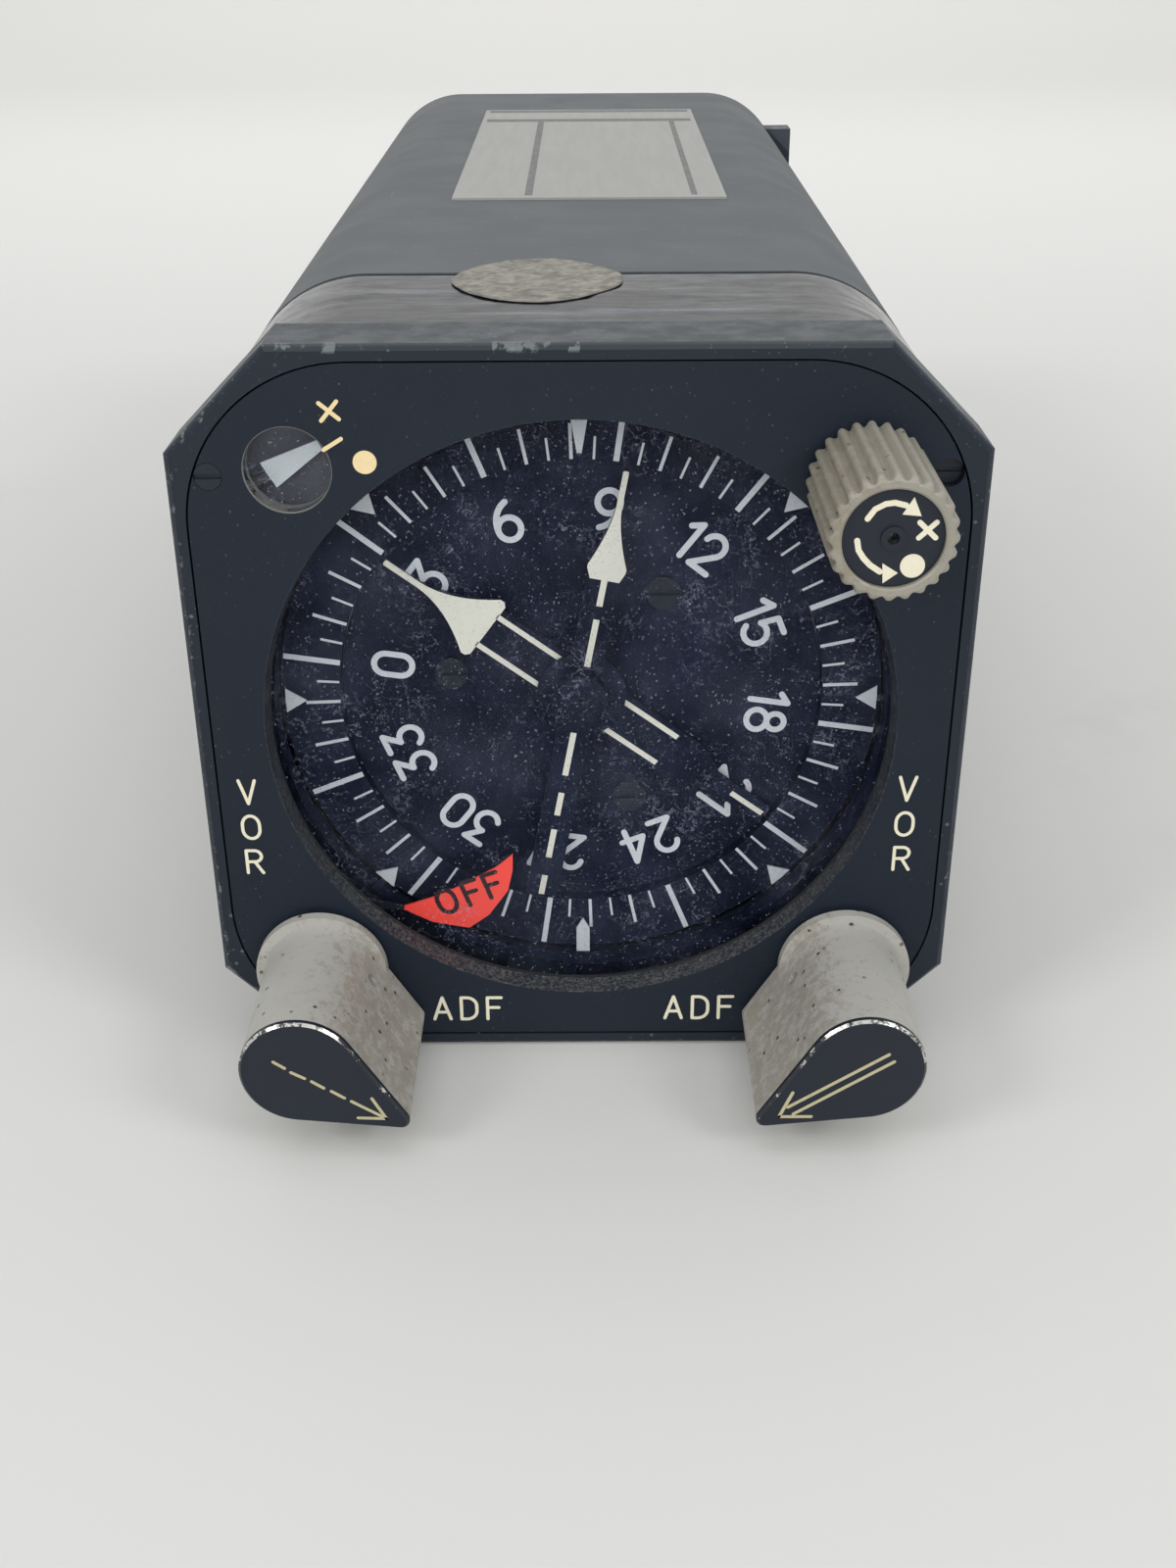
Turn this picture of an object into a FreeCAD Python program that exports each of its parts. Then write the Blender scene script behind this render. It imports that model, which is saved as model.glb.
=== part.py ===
import FreeCAD, Part
import math
import os
import re
import Sketcher

# Radio magnetic indicator, an aircraft panel instrument with a rotating compass card.
# Every piece is laid out from the centre of the bezel's front face: X to the right as the
# pilot sees it, Y into the panel, Z up. Each finished piece is then placed in the part's
# frame, whose origin is on the resting surface below the middle of the instrument.

Vector = FreeCAD.Vector
document = FreeCAD.newDocument("bearing_indicator")

# Driving dimensions in millimetres and degrees.
DRIVING = [
    ("bezel_width", 82.8, "square bezel, side to side"),
    ("bezel_corner_leg", 10.8, "leg of the bezel's corner chamfers"),
    ("bezel_edge_break", 0.6, "small chamfer on the bezel's front edge"),
    ("flange_depth", 9.0, "thickness of the bezel flange"),
    ("rim_width", 1.6, "bezel rim around the front plate"),
    ("plate_gap", 0.2, "gap between rim and front plate"),
    ("plate_corner", 17.0, "corner radius of the front plate"),
    ("plate_recess", 0.1, "front plate below the rim"),
    ("plate_thickness", 2.6, "front plate"),
    ("aperture_margin", 7.65, "dial opening from the bezel's edge, at the back of the plate"),
    ("aperture_flare", 0.15, "how much the dial opening widens to the front"),
    ("window_seat", 1.45, "pocket that holds the window, beyond the dial opening"),
    ("chamber_gap", 0.2, "gap around the window rings"),
    ("gasket_thickness", 0.4, "window gasket"),
    ("glass_thickness", 2.4, "window glass"),
    ("retainer_thickness", 2.3, "ring behind the glass"),
    ("mark_thickness", 0.2, "fixed index marks"),
    ("index_ring_thickness", 0.4, "ring that carries the index marks"),
    ("ring_bore_gap", 0.1, "window rings' bore against the opening"),
    ("mark_length", 3.1, "triangular index marks from their tips to the ring"),
    ("mark_base_gap", 0.8, "bases of the triangular marks inside the ring"),
    ("mark_stem_half", 0.4, "half width of the stems that hold the triangular marks"),
    ("mark_half_width", 1.42, "half width of a triangular mark at its base"),
    ("lubber_length", 5.5, "top lubber mark from its tip to the ring"),
    ("lubber_tip_half", 0.25, "half width of the lubber mark's tip"),
    ("lubber_half_width", 1.4, "half width of the lubber mark's base"),
    ("tail_mark_length", 4.95, "bottom mark from its tip to the ring"),
    ("tail_mark_half_width", 0.78, "half width of the bottom mark"),
    ("tail_mark_point", 1.4, "pointed end of the bottom mark"),
    ("web_step", 0.4, "opening in the web beyond the dial opening"),
    ("web_thickness", 1.7, "web behind the window"),
    ("housing_step", 1.4, "flange beyond the front housing"),
    ("housing_corner", 15.3, "corner radius of the front housing"),
    ("housing_wall", 1.8, "wall of the front housing"),
    ("seam_depth", 39.0, "seam between housing and dust cover"),
    ("spigot_length", 8.0, "spigot that the dust cover slides over"),
    ("spigot_wall", 1.7, "wall of the spigot"),
    ("tape_thickness", 0.2, "sealing tape around the housing"),
    ("tape_setback", 3.0, "tape behind the flange, clear of the panel"),
    ("tape_edge_gap", 0.1, "tape short of the seam"),
    ("cover_wall", 1.0, "dust cover wall"),
    ("cover_gap", 0.1, "dust cover around the spigot"),
    ("body_length", 215.0, "bezel front face to the back of the rear plate"),
    ("rear_plate_thickness", 2.0, "rear plate"),
    ("post_inset", 3.8, "tie rods from the edge of the mechanism plates"),
    ("post_z", 12.0, "tie rods from the axis, up and down"),
    ("rod_radius", 1.2, "tie rods"),
    ("spacer_radius", 2.6, "spacer tubes and housing bosses"),
    ("rod_gap", 0.05, "clearance around tie rods and rear screws"),
    ("rod_end_gap", 4.0, "tie rods short of the rear screws"),
    ("mechanism_gap", 0.6, "mechanism plates inside the spigot"),
    ("mechanism_thickness", 3.0, "mechanism plates"),
    ("front_mechanism_depth", 22.0, "front face of the first mechanism plate"),
    ("control_room", 1.0, "gear plate behind the synchronising control"),
    ("motor_room", 5.0, "wide pointer's synchro plate behind the motor"),
    ("synchro_bay", 29.0, "between the two synchro plates"),
    ("card_rim_inset", 0.65, "outer edge of the compass card inside the web"),
    ("card_rim_gap", 1.0, "tick ring behind the web's front face"),
    ("card_rim_thickness", 0.5, "sheet of the tick ring"),
    ("tick_ring_width", 6.5, "tick ring, edge to edge"),
    ("card_foot_width", 1.6, "seat of the tick ring on the hub flange"),
    ("number_step", 1.3, "number disc behind the tick ring"),
    ("number_disc_gap", 0.1, "number disc inside the tick ring"),
    ("number_disc_thickness", 1.2, "number disc"),
    ("hub_flange_thickness", 1.2, "flange that carries the card"),
    ("card_zero", -81.8, "where the card's zero stands, clockwise from the top"),
    ("card_screw_circle", 14.7, "circle of the three card screws"),
    ("card_screw_head", 1.9, "head radius of a card screw"),
    ("card_screw_proud", 0.4, "card screw head above the disc"),
    ("card_screw_shank", 1.0, "shank radius of a card screw"),
    ("slot_width", 0.5, "screwdriver slots"),
    ("slot_depth", 0.3, "depth of the screwdriver slots"),
    ("hub_tube_radius", 4.5, "card hub tube, outside"),
    ("hub_tube_bore", 3.0, "card hub tube, inside"),
    ("journal_length", 3.0, "length of each plain bearing inside a tube"),
    ("running_gap", 0.05, "radial clearance of every running fit"),
    ("press_gap", 0.02, "radial clearance of pieces fixed to each other"),
    ("bearing_radius", 7.0, "ball bearing, outside"),
    ("pointer_thickness", 0.4, "pointer plates"),
    ("wide_pointer_gap", 0.9, "wide pointer in front of the number disc"),
    ("narrow_pointer_gap", 0.3, "narrow pointer in front of the wide one"),
    ("pointer_tip_margin", 0.6, "tips of the pointers short of the tick ring"),
    ("pointer_tail_margin", 0.6, "tails of the pointers short of the tick ring"),
    ("needle_half_width", 0.33, "half width of the pointers' tips"),
    ("narrow_needle_length", 4.1, "slim tip of the narrow pointer"),
    ("narrow_head_length", 11.0, "narrow pointer's tip to the shoulders of its head"),
    ("narrow_head_half", 2.2, "half width of the narrow pointer's head"),
    ("narrow_neck_length", 12.5, "narrow pointer's tip to its neck"),
    ("narrow_strip_half", 1.85, "half width of the narrow pointer"),
    ("wide_needle_length", 4.4, "slim tip of the wide pointer"),
    ("wide_head_length", 13.0, "wide pointer's tip to the shoulders of its head"),
    ("wide_head_half", 4.0, "half width of the wide pointer's head"),
    ("wide_neck_length", 13.7, "wide pointer's tip to its neck"),
    ("wide_strip_half", 2.9, "half width of the wide pointer"),
    ("wide_taper_start", 11.2, "wide pointer's taper from its tail"),
    ("wide_taper_end", 7.6, "end of that taper from the tail"),
    ("wide_tail_half", 1.2, "half width of the wide pointer's tail"),
    ("wide_bearing", -53.4, "where the wide pointer stands, clockwise from the top"),
    ("narrow_bearing", 10.8, "where the narrow pointer stands, clockwise from the top"),
    ("hub_disc_radius", 5.0, "disc at the narrow pointer's hub"),
    ("hub_cap_radius", 3.0, "cap over the pointer hub"),
    ("hub_cap_height", 1.5, "cap over the pointer hub"),
    ("hub_pin_radius", 0.38, "pin hole in the hub cap"),
    ("wide_tube_radius", 2.4, "wide pointer's tube, outside"),
    ("wide_tube_bore", 1.3, "wide pointer's tube, inside"),
    ("narrow_shaft_radius", 1.0, "narrow pointer's shaft"),
    ("stator_radius", 17.0, "synchro stators, outside"),
    ("stator_bore", 10.2, "synchro stators, inside"),
    ("stator_length", 17.0, "synchro stators with their end wall"),
    ("stator_end_wall", 1.5, "end wall of a stator"),
    ("rotor_radius", 9.7, "synchro rotors"),
    ("rotor_length", 12.0, "synchro rotors"),
    ("rotor_offset", 2.0, "rotor behind the face of its plate"),
    ("shaft_overhang", 1.0, "shaft past the stator's end wall"),
    ("gear_room", 3.0, "card gear behind the first mechanism plate"),
    ("gear_width", 3.0, "card gear"),
    ("pinion_overlap", 0.5, "pinions wider than their gears on each side"),
    ("card_gear_teeth", 96, "card gear"),
    ("idler_pinion_teeth", 16, "idler's small gear"),
    ("idler_wheel_teeth", 40, "idler's large gear"),
    ("motor_pinion_teeth", 16, "motor pinion"),
    ("motor_side_gap", 1.4, "motor inside the spigot"),
    ("motor_module", 0.4, "tooth module of the motor pinion"),
    ("backlash", 0.08, "play between meshed teeth"),
    ("wheel_room", 2.0, "idler's large gear behind the card gear"),
    ("idler_wheel_width", 2.0, "idler's large gear"),
    ("idler_shaft_radius", 0.75, "idler shaft"),
    ("motor_stator_gap", 3.0, "motor outside the heading synchro"),
    ("motor_length", 30.0, "servo motor"),
    ("motor_shaft_radius", 1.0, "motor shaft"),
    ("motor_bearing_depth", 4.0, "how deep the motor shaft goes into the motor"),
    ("knob_shaft_radius", 1.6, "shafts of the three knobs"),
    ("bushing_radius", 3.2, "bushings of the three knobs"),
    ("bushing_proud", 0.25, "bushing in front of the bezel face"),
    ("bushing_flange_radius", 4.4, "flange of a bushing behind the web"),
    ("bushing_flange_thickness", 1.4, "flange of a bushing behind the web"),
    ("shaft_hole_gap", 0.6, "shaft holes in the first mechanism plate"),
    ("selector_inset_x", 11.56, "selector knobs from the bezel's side"),
    ("selector_inset_z", 11.4, "selector knobs from the bezel's bottom"),
    ("selector_reach", 20.46, "selector knob face in front of the bezel"),
    ("skirt_radius", 7.49, "skirt of a selector knob"),
    ("skirt_gap", 0.6, "skirt in front of the bezel face"),
    ("skirt_thickness", 1.2, "skirt of a selector knob"),
    ("selector_round", 6.34, "round end of the teardrop knob"),
    ("selector_tip_offset", 12.3, "centre of the teardrop's tip from its shaft"),
    ("selector_tip_round", 0.9, "radius of the teardrop's tip"),
    ("selector_angle", 32.0, "teardrop's direction below the horizontal"),
    ("selector_cap_thickness", 0.8, "black face plate of a selector knob"),
    ("selector_shaft_reach", 8.0, "selector shafts inside their switches"),
    ("set_screw_radius", 0.8, "set screw hole in a selector knob"),
    ("set_screw_depth", 4.0, "set screw hole behind the skirt"),
    ("switch_radius", 5.2, "rotary switches"),
    ("switch_length", 12.0, "rotary switches"),
    ("sync_inset_x", 12.7, "synchronising knob from the bezel's side"),
    ("sync_inset_z", 13.55, "synchronising knob from the bezel's top"),
    ("sync_reach", 18.15, "synchronising knob in front of the bezel"),
    ("sync_gap", 0.8, "synchronising knob's back face from the bezel"),
    ("sync_radius", 6.14, "synchronising knob over its flutes"),
    ("sync_flutes", 24, "flutes around the synchronising knob"),
    ("flute_depth", 0.5, "flutes of the synchronising knob"),
    ("sync_rim", 1.4, "front rim of the synchronising knob"),
    ("sync_disc_recess", 0.6, "disc below the knob's front rim"),
    ("sync_disc_thickness", 0.8, "disc in the knob's face"),
    ("sync_disc_hole", 0.55, "hole in the middle of the disc"),
    ("sync_shaft_reach", 10.0, "synchronising shaft inside its control"),
    ("sync_control_radius", 7.2, "control behind the synchronising knob"),
    ("sync_control_length", 16.0, "control behind the synchronising knob"),
    ("sight_inset_x", 12.28, "annunciator window from the bezel's side"),
    ("sight_inset_z", 12.5, "annunciator window from the bezel's top"),
    ("sight_radius", 4.45, "annunciator window hole"),
    ("sight_recess", 0.4, "annunciator glass below the plate's face"),
    ("sight_glass_thickness", 1.2, "annunciator glass"),
    ("sight_chamber_radius", 5.2, "pocket behind the annunciator window"),
    ("sight_chamber_depth", 5.0, "floor of the annunciator pocket"),
    ("needle_direction", 60.0, "annunciator needle, clockwise from the top"),
    ("needle_pivot_offset", 5.0, "needle pivot from the window's centre"),
    ("needle_gap", 0.25, "needle behind the front plate"),
    ("needle_thickness", 0.25, "annunciator needle and flag blade"),
    ("needle_wide_back", 2.8, "needle's wide end behind the window's centre"),
    ("needle_tip_ahead", 3.5, "needle's tip past the window's centre"),
    ("needle_wide_half", 1.5, "half width of the needle's wide end"),
    ("needle_tip_half", 0.55, "half width of the needle's tip"),
    ("needle_stem_half", 0.45, "half width of the needle's stem"),
    ("needle_hub_radius", 1.0, "hub of the annunciator needle"),
    ("needle_spindle_radius", 0.4, "spindle of the annunciator needle"),
    ("needle_movement_radius", 3.8, "annunciator movement"),
    ("movement_length", 11.0, "annunciator movement"),
    ("flag_inset_x", 14.4, "flag pivot from the bezel's left side"),
    ("flag_inset_z", 16.4, "flag pivot from the bezel's bottom"),
    ("flag_length", 20.0, "warning flag from its pivot"),
    ("flag_gap", 0.45, "flag blade behind the glass"),
    ("flag_hub_radius", 1.4, "hub of the warning flag"),
    ("flag_spindle_radius", 0.5, "spindle of the warning flag"),
    ("flag_spindle_end", 20.0, "back end of the flag spindle"),
    ("flag_movement_radius", 3.7, "flag movement"),
    ("flag_movement_length", 9.0, "flag movement"),
    ("flag_pocket_short", 2.0, "flag pocket short of the flag's length"),
    ("flag_pocket_start", 0.75, "flag pocket from the pivot, sideways"),
    ("flag_pocket_rise", 1.0, "flag pocket above the pivot"),
    ("flag_pocket_drop", 13.3, "flag pocket below the pivot"),
    ("retainer_slot_start", 184.0, "flag slot in the retainer, clockwise from the top"),
    ("retainer_slot_end", 228.0, "flag slot in the retainer, clockwise from the top"),
    ("screw_inset_x", 4.3, "upper plate screws from the bezel's sides"),
    ("lower_screw_inset_x", 6.8, "lower plate screws from the bezel's sides"),
    ("screw_inset_z", 13.1, "plate screws from the bezel's top and bottom"),
    ("screw_head_radius", 1.4, "plate screw heads"),
    ("screw_head_height", 0.9, "plate screw heads"),
    ("screw_shank_radius", 0.9, "plate screw shanks"),
    ("screw_length", 6.0, "plate screws with their heads"),
    ("deep_screw_offset", 1.1, "how much deeper the screw beside the knob sits"),
    ("connector_x", 0.0, "connector from the axis, sideways"),
    ("connector_z", 0.0, "connector from the axis, up"),
    ("connector_reach", 14.0, "connector behind the rear plate"),
    ("connector_flange_half", 13.0, "square connector flange, half width"),
    ("connector_flange_thickness", 2.0, "connector flange"),
    ("connector_shell_radius", 10.5, "connector shell, outside"),
    ("connector_shell_bore", 9.0, "connector shell, inside"),
    ("connector_body_depth", 10.0, "connector body in front of the rear plate"),
    ("connector_insert_recess", 8.0, "insert face inside the shell's mouth"),
    ("contact_radius", 0.7, "connector contacts"),
    ("contact_pitch", 2.8, "ring to ring distance of the contacts"),
    ("connector_screw_offset", 10.6, "connector screws from the connector's axis"),
    ("rear_screw_head_radius", 2.3, "rear screw heads"),
    ("rear_screw_head_height", 1.4, "rear screw heads"),
    ("rear_screw_length", 8.0, "rear screws under their heads"),
    ("block_setback", 15.0, "corner block's front face from the back"),
    ("block_length", 6.0, "corner block, front to back"),
    ("block_proud", 1.1, "corner block outside the cover"),
    ("block_height", 7.5, "corner block, bottom to top"),
    ("block_drop", 5.2, "corner block below the cover's top"),
    ("label_setback", 49.0, "label plate's front edge behind the seam"),
    ("label_length", 98.0, "label plate, front to back"),
    ("label_width", 38.8, "label plate"),
    ("label_offset", 1.2, "label plate to the right of the axis"),
    ("label_thickness", 0.3, "label plate"),
    ("seal_offset", -4.8, "oval seal to the left of the axis"),
    ("seal_lead", 4.2, "centre of the oval seal in front of the seam"),
    ("seal_half_width", 9.8, "oval seal across"),
    ("seal_half_length", 11.8, "oval seal front to back"),
    ("seal_thickness", 0.15, "oval seal"),
    ("board_room", 25.0, "first circuit board behind the last synchro plate"),
    ("board_bay", 18.0, "second circuit board behind the first"),
    ("board_thickness", 1.6, "circuit boards"),
    ("board_inset", 1.0, "circuit boards inside the mechanism plates' outline"),
]

# Places that follow from the driving dimensions.
DERIVED = [
    ("bezel_half", "bezel_width / 2"),
    ("corner_start", "bezel_half - bezel_corner_leg"),
    ("housing_half", "bezel_half - housing_step"),
    ("aperture_radius", "bezel_half - aperture_margin"),
    ("chamber_radius", "aperture_radius + window_seat"),
    ("web_bore_radius", "aperture_radius + web_step"),
    ("card_rim_radius", "web_bore_radius - card_rim_inset"),
    ("card_inner_radius", "card_rim_radius - tick_ring_width"),
    ("pointer_reach", "card_inner_radius - pointer_tip_margin"),
    ("pointer_tail", "card_inner_radius - pointer_tail_margin"),
    ("selector_x", "bezel_half - selector_inset_x"),
    ("selector_z", "bezel_half - selector_inset_z"),
    ("sync_x", "bezel_half - sync_inset_x"),
    ("sync_z", "bezel_half - sync_inset_z"),
    ("sight_x", "bezel_half - sight_inset_x"),
    ("sight_z", "bezel_half - sight_inset_z"),
    ("flag_pivot_x", "flag_inset_x - bezel_half"),
    ("flag_pivot_z", "flag_inset_z - bezel_half"),
    ("flag_pocket_right", "flag_pivot_x + flag_length - flag_pocket_short"),
    ("flag_pocket_left", "flag_pivot_x + flag_pocket_start"),
    ("flag_pocket_top", "flag_pivot_z + flag_pocket_rise"),
    ("flag_pocket_floor", "flag_pivot_z - flag_pocket_drop"),
    ("screw_x", "bezel_half - screw_inset_x"),
    ("lower_screw_x", "bezel_half - lower_screw_inset_x"),
    ("screw_z", "bezel_half - screw_inset_z"),
    ("front_y", "(selector_reach - body_length - connector_reach) / 2"),
    ("recess_half", "bezel_half - rim_width"),
    ("recess_corner", "plate_corner + plate_gap"),
    ("plate_half", "recess_half - plate_gap"),
    ("plate_back", "plate_recess + plate_thickness"),
    ("glass_front", "plate_back + gasket_thickness"),
    ("glass_back", "glass_front + glass_thickness"),
    ("mark_front", "glass_back + retainer_thickness"),
    ("index_ring_front", "mark_front + mark_thickness"),
    ("web_front", "index_ring_front + index_ring_thickness"),
    ("web_back", "web_front + web_thickness"),
    ("ring_radius", "chamber_radius - chamber_gap"),
    ("ring_bore", "aperture_radius - ring_bore_gap"),
    ("mark_tip_radius", "ring_bore - mark_length"),
    ("mark_base_radius", "ring_bore - mark_base_gap"),
    ("lubber_tip_radius", "ring_bore - lubber_length"),
    ("tail_mark_tip_radius", "ring_bore - tail_mark_length"),
    ("housing_inner", "housing_half - housing_wall"),
    ("housing_inner_corner", "housing_corner - housing_wall"),
    ("cover_half", "housing_half + tape_thickness"),
    ("cover_corner", "housing_corner + tape_thickness"),
    ("cover_inner", "cover_half - cover_wall"),
    ("cover_inner_corner", "cover_corner - cover_wall"),
    ("spigot_half", "cover_inner - cover_gap"),
    ("spigot_corner", "cover_inner_corner - cover_gap"),
    ("spigot_inner", "spigot_half - spigot_wall"),
    ("spigot_inner_corner", "spigot_corner - spigot_wall"),
    ("spigot_end", "seam_depth + spigot_length"),
    ("mechanism_half", "spigot_inner - mechanism_gap"),
    ("mechanism_corner", "spigot_inner_corner - mechanism_gap"),
    ("board_half", "mechanism_half - board_inset"),
    ("board_corner", "mechanism_corner - board_inset"),
    ("post_x", "mechanism_half - post_inset"),
    ("tape_front", "flange_depth + tape_setback"),
    ("tape_length", "seam_depth - tape_edge_gap - tape_front"),
    ("rear_plate_front", "body_length - rear_plate_thickness"),
    ("cover_length", "rear_plate_front - seam_depth"),
    ("rod_end", "body_length - rear_screw_length - rod_end_gap"),
    ("block_front", "body_length - block_setback"),
    ("block_right", "cover_half + block_proud"),
    ("block_high", "cover_half - block_drop"),
    ("block_low", "block_high - block_height"),
    ("label_front", "seam_depth + label_setback"),
    ("seal_depth", "seam_depth - seal_lead"),
    ("rod_hole", "rod_radius + rod_gap"),
    ("rod_start", "web_front + 2 * rod_gap"),
    ("card_rim_front", "web_front + card_rim_gap"),
        ("disc_front", "card_rim_front + number_step"),
    ("disc_back", "disc_front + number_disc_thickness"),
    ("disc_radius", "card_inner_radius - number_disc_gap"),
    ("hub_flange_radius", "card_inner_radius + card_foot_width"),
    ("hub_flange_back", "disc_back + hub_flange_thickness"),
    ("wide_plane", "disc_front - wide_pointer_gap - pointer_thickness"),
    ("narrow_plane", "wide_plane - narrow_pointer_gap - pointer_thickness"),
    ("cap_front", "narrow_plane - hub_cap_height"),
    ("mechanism_back", "front_mechanism_depth + mechanism_thickness"),
    ("card_gear_depth", "mechanism_back + gear_room"),
    ("idler_wheel_depth", "card_gear_depth + gear_width + wheel_room"),
    ("selector_shaft_depth", "mechanism_back + selector_shaft_reach"),
    ("sync_shaft_depth", "mechanism_back + sync_shaft_reach"),
    ("gear_plate_depth", "mechanism_back + sync_control_length + control_room"),
    ("gear_plate_back", "gear_plate_depth + mechanism_thickness"),
    ("hub_tube_end", "gear_plate_back + stator_length + shaft_overhang"),
    ("wide_plate_depth", "gear_plate_back + motor_length + motor_room"),
    ("wide_plate_back", "wide_plate_depth + mechanism_thickness"),
    ("narrow_plate_depth", "wide_plate_back + synchro_bay"),
    ("narrow_plate_back", "narrow_plate_depth + mechanism_thickness"),
    ("front_board_depth", "narrow_plate_back + board_room"),
    ("rear_board_depth", "front_board_depth + board_bay"),
    ("card_bearing_bore", "hub_tube_radius + running_gap"),
    ("wide_bearing_bore", "wide_tube_radius + running_gap"),
    ("narrow_bearing_bore", "narrow_shaft_radius + running_gap"),
    ("wide_tube_end", "wide_plate_back + stator_length + shaft_overhang"),
    ("narrow_shaft_end", "narrow_plate_back + stator_length + shaft_overhang"),
    ("motor_radius", "(spigot_inner - motor_side_gap - stator_radius - motor_stator_gap) / 2"),
    ("motor_axis", "spigot_inner - motor_side_gap - motor_radius"),
    ("card_module", "2 * motor_axis / (card_gear_teeth + idler_pinion_teeth)"),
    ("card_pitch_radius", "card_module * card_gear_teeth / 2"),
    ("idler_distance", "card_module * (card_gear_teeth + idler_pinion_teeth) / 2"),
    ("motor_distance", "motor_module * (idler_wheel_teeth + motor_pinion_teeth) / 2"),
    ("idler_turn", "2 * asin(motor_distance / (2 * idler_distance))"),
    ("idler_x", "idler_distance * sin(idler_turn)"),
    ("idler_z", "-idler_distance * cos(idler_turn)"),
    ("motor_z", "-idler_distance"),
    ("bushing_hole", "bushing_radius + rod_gap"),
    ("bushing_bore", "knob_shaft_radius + running_gap"),
    ("knob_bore", "knob_shaft_radius + press_gap"),
    ("selector_body_front", "selector_reach - selector_cap_thickness"),
    ("sync_disc_front", "sync_reach - sync_disc_recess"),
    ("sync_disc_radius", "sync_radius - sync_rim - press_gap"),
    ("needle_front", "plate_back + needle_gap"),
    ("needle_pivot_x", "-sight_x - needle_pivot_offset * sin(needle_direction)"),
    ("needle_pivot_z", "sight_z - needle_pivot_offset * cos(needle_direction)"),
    ("flag_front", "glass_back + flag_gap"),
    ("rear_screw_hole", "rod_radius + rod_gap"),
]

NAMES = {}


def full(expression):
    """Name the sheet in front of every size in an expression."""
    def with_sheet(match):
        word = match.group(0)
        return NAMES[word] + "." + word if word in NAMES else word
    return re.sub(r"[a-z][a-z_0-9]*", with_sheet, str(expression))


def make_sheet(name, rows):
    sheet = document.addObject("Spreadsheet::Sheet", name)
    for row, (alias, content, note) in enumerate(rows, start=1):
        NAMES[alias] = name
        sheet.set("A%d" % row, content)
        sheet.setAlias("A%d" % row, alias)
        sheet.set("B%d" % row, note)
    return sheet


sizes = make_sheet("Sizes", [(alias, str(number), note) for alias, number, note in DRIVING])
for alias, rule in DERIVED:
    NAMES[alias] = "Places"
places = make_sheet("Places", [(alias, "=" + full(rule), rule) for alias, rule in DERIVED])
document.recompute()


def size(name):
    """A size or place in millimetres or degrees; a leading minus sign mirrors it."""
    sign = -1.0 if name.startswith("-") else 1.0
    name = name.lstrip("-")
    sheet = sizes if NAMES[name] == "Sizes" else places
    return sign * float(sheet.get(name))


PARTS = []


def bind(thing, **properties):
    for name, expression in properties.items():
        thing.setExpression(name.replace("__", "."), full(expression))
    return thing


def keep(thing, label):
    """Place a finished piece in the part's frame and list it for export."""
    if thing.TypeId in ("Part::Cylinder", "Part::Box", "Part::Extrusion"):
        thing = group(label + "_whole", [thing])
    thing.Label = label
    bind(thing, Placement__Base__y="front_y", Placement__Base__z="bezel_half")
    PARTS.append(thing)
    return thing


ALONG_Y = FreeCAD.Rotation(Vector(1, 0, 0), -90)
UPRIGHT = FreeCAD.Rotation()


def lay(thing, x, y, z, rotation=ALONG_Y):
    thing.Placement = FreeCAD.Placement(Vector(), rotation)
    return bind(thing, Placement__Base__x=x, Placement__Base__y=y, Placement__Base__z=z)


def rod(name, radius, front, length, x="0", z="0"):
    """Solid cylinder along Y."""
    cylinder = document.addObject("Part::Cylinder", name)
    bind(cylinder, Radius=radius, Height=length)
    return lay(cylinder, x, front, z)


def block(name, x, y, z, width, length, height):
    box = document.addObject("Part::Box", name)
    bind(box, Length=width, Width=length, Height=height)
    return lay(box, x, y, z, UPRIGHT)


def cut(name, base, tool):
    result = document.addObject("Part::Cut", name)
    result.Base = base
    result.Tool = tool
    return result


def fuse(name, pieces):
    result = document.addObject("Part::MultiFuse", name)
    result.Shapes = pieces
    result.Refine = True
    return result


def group(name, pieces):
    """Separate solids that share one node."""
    result = document.addObject("Part::Compound", name)
    result.Links = pieces
    return result


def tube(name, outer, inner, front, length, x="0", z="0"):
    return cut(name, rod(name + "_outside", outer, front, length, x, z),
               rod(name + "_bore", inner, front, length, x, z))


def solid(label, shape, turn=None):
    """A piece whose outline is computed, kept as a plain shape."""
    feature = document.addObject("Part::Feature", label)
    feature.Shape = shape
    turning = FreeCAD.Rotation(Vector(0, 1, 0), size(turn)) if turn else UPRIGHT
    frame = FreeCAD.Placement(Vector(0, size("front_y"), size("bezel_half")), turning)
    feature.Placement = frame.multiply(shape.Placement)
    feature.Label = label
    PARTS.append(feature)
    return feature


def new_body(label):
    body = document.addObject("PartDesign::Body", label)
    return body


def sketch_at(body, name, depth):
    """Sketch parallel to the bezel's face, at a depth behind it."""
    sketch = body.newObject("Sketcher::SketchObject", name)
    plane = [feature for feature in body.Origin.OriginFeatures if feature.Role == "XZ_Plane"][0]
    sketch.AttachmentSupport = (plane, [""])
    sketch.MapMode = "FlatFace"
    sketch.setExpression(".AttachmentOffset.Base.z", "-(" + full(depth) + ")")
    return sketch


def dimension(sketch, kind, name, *references):
    index = sketch.addConstraint(Sketcher.Constraint(kind, *references, size(name)))
    sketch.setExpression("Constraints[%d]" % index, full(name))


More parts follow.
